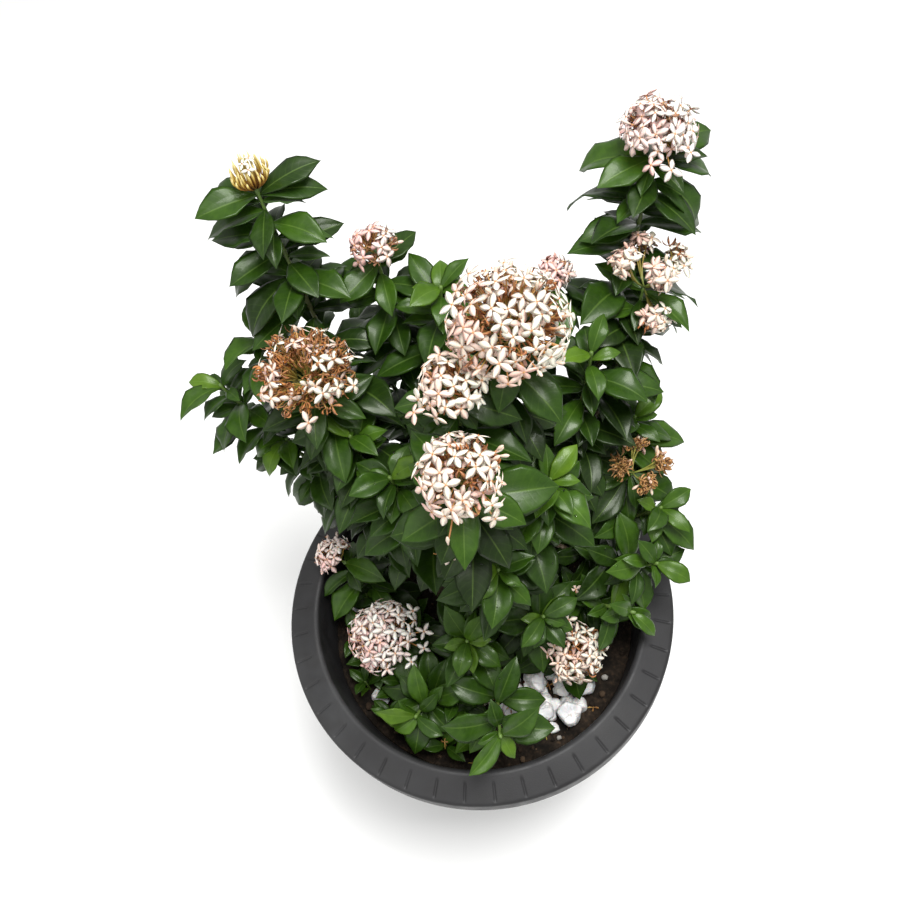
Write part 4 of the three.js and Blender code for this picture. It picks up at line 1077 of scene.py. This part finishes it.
# ---- Seedlings -----------------------------------------------------------------------------------
# Young plants grow low on the potting mix beside the heads on the left: short stems with two or three pairs
# of leaves, rooted in the mix.
SEEDLINGS = [
    (-.122, -.022), (-.1, -.056), (-.134, -.046), (-.096, -.104), (-.066, -.126), (-.036, -.126),
    (-.062, -.036), (-.138, .008), (-.116, .052), (-.044, -.1), (-.07, .02), (-.116, -.084),
]
SEEDLING = dict(pairs=3, height=(.018, .04), leaf=(.028, .04), first_pair=.25, lean=.35, clear=.005, tone=.5)
SEEDLING_STEM = dict(radius=.0011, root=.012, past_leaves=1.02, rows=5, sides=6, youth=.8)
# The youth, rise, droop and size of the lowest pair, and how much more each next pair has.
SEEDLING_PAIR = ((.35, .2), (60, -12), (98, -10), (1, -.1))
SEEDLING_KEY = 60

young, seedling_stems = [], []
for number, (x, y) in enumerate(SEEDLINGS):
    foot = np.array([x, y, soil_height(x, y)])
    aside = np.array([chance(number, 1, 2) - .5, chance(number, 2, 3) - .5, 0])
    lean = unit(UP + SEEDLING["lean"] * aside)
    tall = mix(*SEEDLING["height"], chance(number, 4, 1))
    length = mix(*SEEDLING["leaf"], chance(number, 4, 2))
    for key in range(2 * SEEDLING["pairs"]):
        pair, side = divmod(key, 2)
        base = foot + lean * tall * mix(SEEDLING["first_pair"], 1, pair / (SEEDLING["pairs"] - 1))
        youth, rise, droop, size = (first + more * pair for first, more in SEEDLING_PAIR)
        bearing = 77 * number + 90 * pair + 180 * side
        seed = (SEEDLING_KEY + number, key)
        poses = poses_at(base, lean, youth, bearing, rise, droop, length * size, seed, SIDE_TRIES)
        young += first_clear(poses, SOIL_HEIGHT + SEEDLING["clear"], wall_radius(SOIL_HEIGHT) - CLEAR)
    root, tip = foot - SEEDLING_STEM["root"] * lean, foot + SEEDLING_STEM["past_leaves"] * tall * lean
    seedling_stems.append(np.linspace(root, tip, SEEDLING_STEM["rows"]))
pose = joined(young)
look = leaf_marks(pose, SEEDLING["tone"])
stem = tubes(np.array(seedling_stems), SEEDLING_STEM["radius"], SEEDLING_STEM["sides"])
parts = [(blades(pose), 0, look), (stem, 1, (SEEDLING_STEM["youth"],) * 4)]
make_piece("leafy_seedlings", parts, [leaf_green, stem_green], "leaves")

# ---- Flower heads --------------------------------------------------------------------------------
# Each head is a corymb: a few green branchlets fan out from the shoot's tip, and each carries slender tubes
# that open into four flat petals. Old florets shrivel and turn brown; the youngest are closed, pointed buds.
FLORET = .0106  # from its throat to a petal's tip
TUBE = .0005  # the radius of a floret's tube at its foot
LOOSE = dict(bunches=4, spread=1.1, out=.7, size=.4, reach=80)  # spread in radians, reach in degrees
HANGING = {"loose_head": [(-.003, -.031, -.021)]}  # one more bunch, this far from the middle of the head
MORE = 2.9  # true-size florets for each of the solid's larger ones
LAYERS = ((1, 1), (.5, .82), (.35, .66))  # the share of florets in each layer of a head, and its depth
DOME_REACH = 96  # how far down its sides a dome's florets reach, in degrees from its top
# The branchlets of a bunch: at least how many, the florets on each, how far they spread over the florets'
# own spread, how far they reach and how deep their ends lie, over the radius of the bunch.
BRANCHLETS = dict(fewest=4, florets=5, spread=.85, reach=.42, deep=.28, radius=.0008)
# How much the florets of a bunch differ: in direction, depth, tilt, tone, size and curl (radians).
UNEVEN = dict(way=.07, depth=(.88, 1.08), tilt=.27, tone=.28, size=(.88, 1.06), curl=(-.2, .8))
SHRIVELLED = dict(curl=(1.6, 3.4), size=.95, wither=(.93, 1), deeper=.06)
PETALS_UNEVEN = dict(turn=.14, size=(.88, 1.1), curl=.35)
PETAL_ROWS = np.array([0, .15, .35, .56, .76, .91, 1])
PETAL_WIDTH = np.array([.06, .13, .225, .255, .195, .095, 0])  # half width, over the floret's size
SHRUNK = .5  # the width of a brown petal, over a fresh one's
THROAT = dict(rise=(-.0002, .0006, .001), radius=(.0006, .0005, .0002))
BUD = dict(rise=(-.002, 0, .0035, .0055, .0066), radius=(.0005, .0009, .0016, .0011, .0001))
# A long closed bud of the golden head, from its foot to its tip, and how many there are.
LONG_BUD = dict(count=58, reach=82, radius=(.0004, .0004, .0005, .0006, .0007, .001, .0009, .0002))
OPENED = dict(count=3, within=20, out=1.4, size=.55, curl=.3)  # small florets, open among the long buds
# For each colour of head: its share of brown florets, of closed buds, how pink it is and its slot.
HEAD_COLOURS = {
    "white": (.12, .1, .3, "white_petals"),
    "blush": (.05, .1, .32, "blush_petals"),
    "rosy": (.12, .1, 1.2, "blush_petals"),
    "withering": (.84, .02, .25, "withering_petals"),
    "withered": (.95, .15, .3, "withered_petals"),
    "bud": (0, 1, .1, "buds"),
}
CROWD = {"white": 1.25, "blush": 1.6, "withering": 2, "withered": 2}  # florets are closer in some heads
INNER_BROWN_AND_SHADE = .8  # the share of brown florets in the inner layers of a fresh dome: withered florets that also serve as painted shade between the outer ones
SMALL_BUNCH = .016  # a bunch with a smaller radius has no more brown florets inside than outside
# Florets that hang out of their dome: the direction from its middle, and how far, over the dome's radius.
STRAYS = {
    "front_head": [((-.42, -.74, -.4), 1.45), ((.4, -.8, -.3), 1.15)],
    "tall_right": [((-.42, -.8, .05), 1.28), ((.42, -.88, .1), 1.22), ((-.05, -.95, -.1), 1.3)],
    "mid_head": [((-.75, -.35, .1), 1.4)],
    "low_right_head": [((.05, .5, .8), 1.35)],
    "low_left_head": [
        ((.95, -.2, .3), 1.16), ((.8, .3, .5), 1.14), ((.85, -.55, .1), 1.16), ((.5, -.85, .2), 1.12),
        ((.9, .05, .6), 1.1),
    ],
    "left_head": [
        ((.85, -.1, .4), 1.15), ((-.1, -.9, .1), 1.2), ((.65, -.25, .7), 1.04), ((.9, .2, .3), 1.06),
        ((.6, -.7, .4), 1.05), ((.5, .5, .7), 1.04), ((.3, -.8, .5), 1.06), ((.8, -.5, .1), 1.08),
        ((.1, .85, .5), 1.04), ((-.4, .75, .5), 1.05), ((.35, .8, .3), 1.06), ((-.85, .2, .45), 1.04),
        ((-.9, -.3, .3), 1.05), ((-.7, -.55, .4), 1.04),
    ],
}
FAR_OUT = 1.1  # from here on, over the dome's radius, a floret turns up towards the light
# Where a dome has lost florets, so that its tubes show: the direction from its middle, and the angle round
# that.
HOLLOWS = {
    "left_head": [((-.16, -.42, .89), 15), ((-.5, .1, .8), 7)],
    "front_head": [((-.32, -.68, .66), 12)],
    "top_head": [((-.1, -.15, .98), 7), ((.02, -.84, .53), 8)],
}


def cap_directions(axis, count, widest, turn):
    """Directions spread evenly over a cap round an axis, out to `widest` from it, by the golden angle."""
    k = np.arange(count)
    cosine = 1 - (k + .5) / count * (1 - cos(widest))
    aside = around(axis, turn + k * GOLDEN_ANGLE)
    return axis * cosine[:, None] + aside * np.sqrt(1 - cosine ** 2)[:, None]


def petals(centre, normal, spin, size, curl, narrow):
    """Petals, of shape (4 x florets, rows, 3, 3): a thin leaf shape whose middle line bends back by `curl`
    radians, with a low ridge along it."""
    n = len(centre)
    askew = dice.uniform(-PETALS_UNEVEN["turn"], PETALS_UNEVEN["turn"], (n, 4))
    angle = spin[:, None] + np.arange(4) * pi / 2 + askew
    out = around(np.repeat(normal, 4, 0), angle.ravel())
    normal, centre = np.repeat(normal, 4, 0), np.repeat(centre, 4, 0)
    size = np.repeat(size, 4) * dice.uniform(*PETALS_UNEVEN["size"], 4 * n)
    curl = np.repeat(curl, 4) + dice.uniform(-PETALS_UNEVEN["curl"], PETALS_UNEVEN["curl"], 4 * n)
    curl = curl[:, None]
    curl = np.where(np.abs(curl) < .05, .05, curl)
    narrow = np.repeat(narrow, 4)
    t = PETAL_ROWS
    twist = (dice.uniform(-1, 1, 4 * n) * (.35 + 2.2 * (narrow < .9)))[:, None, None] * t[:, None]
    reach = size[:, None] * np.sin(curl * t) / curl
    drop = size[:, None] * (1 - np.cos(curl * t)) / curl
    middle = centre[:, None] + out[:, None] * reach[..., None] - normal[:, None] * drop[..., None]
    face = normal[:, None] * np.cos(curl * t)[..., None] + out[:, None] * np.sin(curl * t)[..., None]
    flat = np.cross(normal, out)[:, None]
    across = flat * np.cos(twist) + face * np.sin(twist)
    face = face * np.cos(twist) - flat * np.sin(twist)
    half = (size * narrow)[:, None] * PETAL_WIDTH
    aside = half[..., None] * np.array([-1, 0, 1])
    ridge = np.array([0, .04, 0]) * size[:, None, None] * np.sin(pi * (.1 + .9 * t))[:, None]
    return middle[:, :, None] + across[:, :, None] * aside[..., None] + face[:, :, None] * ridge[..., None]


def bloom_material(name, fresh, pink, brown, dark_brown):
    """Waxy petals: pale, darker towards the throat, brown when old. Marks: place along the petal, how
    withered, and the floret's tone, which in a head is pinker on its left side and deeper inside it, the
    deeper tone being painted shade."""
    made, tree, shader = new_material(name, .5, Subsurface_Weight=.1, Subsurface_Scale=.002)
    along, withered, own, _ = read_marks(tree)
    pale = blend(tree, own, fresh, pink)
    near_throat = ramp(tree, along, [(.02, (1, 1, 1)), (.17, (.14, .14, .14)), (.5, (0, 0, 0))])
    pale = blend(tree, near_throat, pale, (.60, .30, .16, 1))
    old = ramp(tree, noise(tree, 330, 3), [(.3, dark_brown), (.7, brown)])
    tree.links.new(blend(tree, withered, pale, old), shader.inputs["Base Color"])
    bump(tree, shader, noise(tree, 600, 2), .0003, .5)
    return made


def tube_material():
    """Stalks and tubes: yellow-green at the branchlets, orange and then pink towards the florets. Marks: the
    place along, how withered and its own tone."""
    made, tree, shader = new_material("floret_tubes", .5)
    along, withered, own, _ = read_marks(tree)
    tone = ramp(tree, along, [(0, (.13, .19, .03)), (.4, (.30, .20, .035)),
                              (.75, (.44, .16, .035)), (1, (.50, .22, .09))])
    dry = ramp(tree, along, [(0, (.20, .24, .045)), (.6, (.40, .36, .07)), (1, (.32, .13, .03))])
    tone = blend(tree, math(tree, "MULTIPLY", withered, .85), tone, dry)
    tone = blend(tree, math(tree, "MULTIPLY", own, .35), tone, (.52, .40, .11, 1))
    tree.links.new(tone, shader.inputs["Base Color"])
    return made


FRESH, PINK = (.80, .745, .62, 1), (.76, .48, .40, 1)
BLUSH_FRESH, BLUSH_PINK = (.81, .76, .69, 1), (.76, .47, .43, 1)
petal_finishes = {
    "white": bloom_material("white_petals", FRESH, PINK, (.46, .16, .035), (.16, .05, .014)),
    "blush": bloom_material("blush_petals", BLUSH_FRESH, BLUSH_PINK, (.50, .25, .12), (.18, .07, .03)),
    "withering": bloom_material("withering_petals", FRESH, PINK, (.48, .19, .04), (.15, .045, .012)),
    "withered": bloom_material("withered_petals", FRESH, PINK, (.54, .28, .085), (.20, .085, .025)),
}
petal_finishes["bud"], petal_finishes["rosy"] = petal_finishes["white"], petal_finishes["blush"]
bud_finish, tree, shader = new_material("golden_buds", .5)
golden = ramp(tree, read_marks(tree)[0], [
    (0, (.11, .035, .006)), (.3, (.30, .14, .018)), (.62, (.46, .32, .06)), (.97, (.60, .49, .20))])
tree.links.new(golden, shader.inputs["Base Color"])
tube_finish = tube_material()


def arcs(start, middle, end, rows=5):
    """Quadratic curves between points, of shape (copies, rows, 3)."""
    t = np.linspace(0, 1, rows)[:, None]
    start, middle, end = start[:, None], middle[:, None], end[:, None]
    return (1 - t) ** 2 * start + 2 * t * (1 - t) * middle + t * t * end


def marked(grid, along, withered, own):
    """Marks for a field of grids: along has one value for each row, the others one for each copy."""
    along = np.asarray(along)[None, :, None]
    withered, own = (np.asarray(v)[:, None, None] for v in (withered, own))
    return np.stack(np.broadcast_arrays(along + 0 * grid[..., 0], withered, own, 0), -1)


def florets(heads, tilt, wither, size, curl, tones):
    """Open florets at points, each facing its tilt: their petals and the small knob in each throat."""
    narrow = np.where(wither > .5, SHRUNK, 1)
    leaf = petals(heads, tilt, dice.uniform(0, pi, len(heads)), size, curl, narrow)
    throat = np.stack([heads + rise * tilt for rise in THROAT["rise"]], 1)
    knob = tubes(throat, np.array(THROAT["radius"]), 4)
    return [(leaf, 0, marked(leaf, PETAL_ROWS, np.repeat(wither, 4), np.repeat(tones, 4))),
            (knob, 1, marked(knob, [.8] * 5, wither, tones))]


def bunch(stalk_end, centre, axis, radius, count, widest, shares, turn, inner_brown_and_shade=INNER_BROWN_AND_SHADE,
          hollows=(), strays=()):
    """One bunch: branchlets from the stalk's end, tubes from their ends to the florets on a cap, petals or
    closed buds there. The shares are of brown florets, of closed buds and of pink. Returns its grids."""
    browns, buds, pink = shares
    limbs = max(BRANCHLETS["fewest"], count // BRANCHLETS["florets"])
    to = cap_directions(axis, limbs, widest * BRANCHLETS["spread"], turn)
    ends = centre + radius * (BRANCHLETS["reach"] * to - BRANCHLETS["deep"] * axis)
    foot = np.broadcast_to(stalk_end, ends.shape)
    limb = arcs(foot, foot + .5 * np.linalg.norm(ends - foot, axis=1, keepdims=True) * axis, ends)
    counts = [round(share * count) for share, _ in LAYERS]
    ways = np.concatenate([cap_directions(axis, n, widest, turn + 1 + k) for k, n in enumerate(counts)])
    depth = np.repeat([deep for _, deep in LAYERS], counts)
    count = sum(counts)
    ways = unit(ways + dice.normal(0, UNEVEN["way"], (count, 3)))
    inner = depth < 1
    depth = depth * dice.uniform(*UNEVEN["depth"], count)
    # Brown florets inside a larger bunch are withered ones, and they also serve as painted shade that
    # darkens the gaps between the outer florets.
    inner_browns = browns if radius < SMALL_BUNCH else max(inner_brown_and_shade, browns)
    brown = dice.uniform(0, 1, count) < np.where(inner, inner_browns, browns)
    for way, angle in hollows:
        depth[ways @ unit(np.array(way)) > cos(radians(angle))] = 0
    for way, far in strays:
        ways, depth = np.append(ways, [unit(np.array(way))], 0), np.append(depth, far)
        brown, inner = np.append(brown, False), np.append(inner, False)
    depth = depth - SHRIVELLED["deeper"] * brown
    ways, brown, inner, depth = (values[depth > .5] for values in (ways, brown, inner, depth))
    count = len(ways)
    heads = centre + ways * (radius * depth)[:, None]
    closed = dice.uniform(0, 1, count) < buds
    roots = ends[np.linalg.norm(heads[:, None] - ends, axis=-1).argmin(1)]
    span = np.linalg.norm(heads - roots, axis=1, keepdims=True)
    tube_line = arcs(roots, heads - .55 * span * ways, heads)
    own = dice.uniform(0, 1, count)
    stray = depth > FAR_OUT
    askew = dice.normal(0, UNEVEN["tilt"], (count, 3))
    tilt = unit(ways * np.where(stray, .4, 1)[:, None] + askew + [0, 0, .15])
    tilt[stray] = unit(tilt[stray] + UP)
    wither = np.where(brown, dice.uniform(*SHRIVELLED["wither"], count), 0)
    limb_tubes = tubes(limb, BRANCHLETS["radius"], 5)
    tube = tubes(tube_line, TUBE * mix(1, 1.25, np.linspace(0, 1, 5)), 4)
    dry = np.full(limbs, float(browns > .5))
    grids = [
        (limb_tubes, 1, marked(limb_tubes, np.r_[0, np.linspace(0, .45, 5), .45], dry, np.zeros(limbs))),
        (tube, 1, marked(tube, np.r_[.4, np.linspace(.4, 1, 5), 1], wither, own)),
    ]
    # A floret's tone: pinker on the head's left side, raised by half inside the head as painted shade in its
    # depths, and spread at random.
    tones = pink * (1 - 1.2 * ways[:, 0]) + .5 * inner + dice.normal(0, UNEVEN["tone"], count)
    tones = np.clip(tones, 0, 1)
    rolled = dice.choice([-1, 1], count) * dice.uniform(*SHRIVELLED["curl"], count)
    curl = np.where(brown, rolled, dice.uniform(*UNEVEN["curl"], count))
    size = FLORET * np.where(brown, SHRIVELLED["size"], 1) * dice.uniform(*UNEVEN["size"], count)
    grids += florets(*(values[~closed] for values in (heads, tilt, wither, size, curl, tones)))
    if closed.any():
        tip = np.stack([heads[closed] + rise * tilt[closed] for rise in BUD["rise"]], 1)
        bud = tubes(tip, np.array(BUD["radius"]), 5)
        marks = marked(bud, [.1, .1, .2, .6, 1, 1, 1], np.repeat(.35, len(tip)), tones[closed])
        grids.append((bud, 0, marks))
    return grids


def brush(foot, centre, axis, radius):
    """Long closed buds that stand apart, bulge outwards and lean in again at their tips."""
    count = LONG_BUD["count"]
    ways = cap_directions(axis, count, radians(LONG_BUD["reach"]), 0)
    ways = unit(ways + dice.normal(0, .06, (count, 3)))
    wide = ways - (ways @ axis)[:, None] * axis
    start = foot + .25 * radius * wide
    far = dice.uniform(.78, 1.14, count)[:, None]
    end = centre + 1.15 * radius * ways * far + .3 * radius * axis
    line = arcs(start, start + 1.1 * radius * wide + .55 * radius * axis, end, len(LONG_BUD["radius"]))
    closed = tubes(line, np.array(LONG_BUD["radius"]), 6)
    rows = [0, 0, .07, .15, .25, .4, .6, .9, 1, 1]
    return [(closed, 2, marked(closed, rows, np.zeros(count), dice.uniform(0, 1, count)))]


for number, (name, head) in enumerate(HEADS.items()):
    *shares, slot = HEAD_COLOURS[head["colour"]]
    dice = np.random.default_rng(100 + number)
    bend = shoot_arch(name)
    axis, foot, centre = bend.tangent(1), bend.end, np.array(head["at"])
    radius = head["radius"]
    count = round(MORE * CROWD.get(head["colour"], 1) * head["florets"])
    finishes = [petal_finishes[head["colour"]], tube_finish]
    if head["form"] == "loose":
        grids, bunches = [], []
        for k in range(LOOSE["bunches"]):
            aside = around(axis, 2 * pi * k / LOOSE["bunches"])
            lean = axis * cos(LOOSE["spread"]) + aside * sin(LOOSE["spread"])
            bunches.append((LOOSE["out"] * radius * lean, lean))
        for aside in HANGING.get(name, ()):
            bunches.append((aside, unit(np.array(aside) + .02 * UP)))
        for k, (aside, lean) in enumerate(bunches):
            grids += bunch(foot, centre + aside, lean, LOOSE["size"] * radius, count // LOOSE["bunches"],
                           radians(LOOSE["reach"]), shares, k)
    elif head["form"] == "buds":
        grids = brush(foot, centre, axis, radius)
        finishes.append(bud_finish)
        count = OPENED["count"]
        ways = cap_directions(unit(axis + [.1, -.5, .2]), count, radians(OPENED["within"]), 1)
        at, none = centre + OPENED["out"] * radius * ways, np.zeros(count)
        size, curl = np.full(count, FLORET * OPENED["size"]), np.full(count, OPENED["curl"])
        grids += florets(at, ways, none, size, curl, none)
    else:
        reach = radians(head.get("reach", DOME_REACH))
        count = round(count * (1 - cos(reach)) / (1 - cos(radians(DOME_REACH))))
        grids = bunch(foot, centre, axis, radius, count, reach, shares, number,
                      head.get("inner", INNER_BROWN_AND_SHADE), HOLLOWS.get(name, ()), STRAYS.get(name, ()))
    make_piece(f"blooms_{name}", grids, finishes, slot, [f"flowers_{name}"])

# ---- Fallen florets and dry bits -----------------------------------------------------------------
# Florets that have dropped and been caught by leaves or lie on the potting mix, some fresh and some dry and
# curled, and one dry leaf. Each falls straight down from its given place onto what is below it.
CAUGHT = [
    (-.068, .081, .36), (-.032, .201, .54), (.151, .068, .44), (.097, -.029, .39), (.022, -.037, .36),
    (.012, -.091, .31), (-.017, -.088, .3), (-.002, -.036, .56), (-.01, -.042, .56), (.07, .09, .5),
]
DRIED = [
    (.003, -.043, .56), (.009, -.105, .31), (.034, -.134, .29), (-.066, -.123, .29), (-.042, -.146, .29),
    (.016, -.112, .31), (-.02, -.128, .29), (.088, -.122, .29), (.11, -.06, .29), (-.104, .02, .29),
    (.05, -.09, .32),
]
# The places, the finish, how withered, how much the petals curl and how long the tube is.
FALLEN = {
    "caught_florets": (CAUGHT, "white", 0, .4, .013),
    "dried_florets": (DRIED, "withered", 1, 1.5, .008),
}
DRY_LEAF = dict(place=(.01, -.066, .3), youth=.5, bearing=70, rise=84, droop=112, length=.034)


def resting(place):
    """Where something that falls from a place comes to rest: the highest surface below it, and its
    direction."""
    hits = [tree.ray_cast(Vector(place), Vector((0, 0, -1))) for tree in below]
    hit = min((hit for hit in hits if hit[0]), key=lambda hit: hit[3])
    return np.array(hit[0]), unit(np.array(hit[1]) * (1 if hit[1].z > 0 else -1) + .4 * UP)


below = []
for piece in bpy.data.objects:
    if piece.name.startswith(("leafy_", "marble_", "soil_crumbly")):
        faces = [tuple(f.vertices) for f in piece.data.polygons]
        below.append(BVHTree.FromPolygons([v.co for v in piece.data.vertices], faces))
dice = np.random.default_rng(5)
for fallen, (places, finish, withered, curl, reach) in FALLEN.items():
    at, tilt = (np.array(values) for values in zip(*map(resting, places)))
    count = len(at)
    at = at + .0012 * tilt
    wither = np.full(count, float(withered))
    size = FLORET * dice.uniform(.85, 1, count)
    grids = florets(at, tilt, wither, size, np.full(count, curl), dice.uniform(0, .6, count))
    aside = around(tilt, dice.uniform(0, 2 * pi, count))
    tube = tubes(arcs(at, at + .5 * reach * aside, at + reach * aside - .0006 * tilt), TUBE, 4)
    grids.append((tube, 1, marked(tube, np.r_[1, np.linspace(1, .6, 5), .6], wither, np.zeros(count))))
    make_piece(fallen, grids, [petal_finishes[finish], tube_finish], f"{finish}_petals")

dry_leaf, tree, shader = new_material("dry_leaf", .7, Specular_IOR_Level=.3)
tone = ramp(tree, noise(tree, 160, 4), [(.3, (.30, .20, .10)), (.7, (.62, .50, .34))])
tree.links.new(tone, shader.inputs["Base Color"])
at, tilt = resting(DRY_LEAF["place"])
shape = (DRY_LEAF[key] for key in ("youth", "bearing", "rise", "droop", "length"))
pose = poses_at(at + .002 * tilt, tilt, *shape, (3, 5), LEAF_TRIES[:1])
make_piece("dry_leaf", [(blades(pose), 0, NO_MARKS)], [dry_leaf], "withered_petals")

# Beads of water stand on the upper leaves after rain.
DROPS = dict(count=90, middle=(.035, .01), reach=.115, radius=(.0006, .0015), from_height=.56, clear=.03)
BEAD = dict(rise=(-.3, 0, .35, .6, .72), radius=(.8, 1, .85, .45, .1), sides=8)  # over its own radius
water = new_material("water", .02, (1, 1, 1, 1), Transmission_Weight=1, IOR=1.33)[0]
k = np.arange(DROPS["count"])
out = DROPS["reach"] * np.sqrt((k + .5) / DROPS["count"])
bead_grids = []
for angle, far, size in zip(k * GOLDEN_ANGLE, out, dice.uniform(*DROPS["radius"], DROPS["count"])):
    x, y = DROPS["middle"][0] + far * cos(angle), DROPS["middle"][1] + far * sin(angle)
    at, tilt = resting((x, y, DROPS["from_height"]))
    if at[2] > SOIL_HEIGHT + DROPS["clear"]:
        line = np.array([at + rise * size * tilt for rise in BEAD["rise"]])[None]
        bead_grids.append((tubes(line, size * np.array(BEAD["radius"]), BEAD["sides"]), 0, NO_MARKS))
make_piece("water_drops", bead_grids, [water], "leaves")
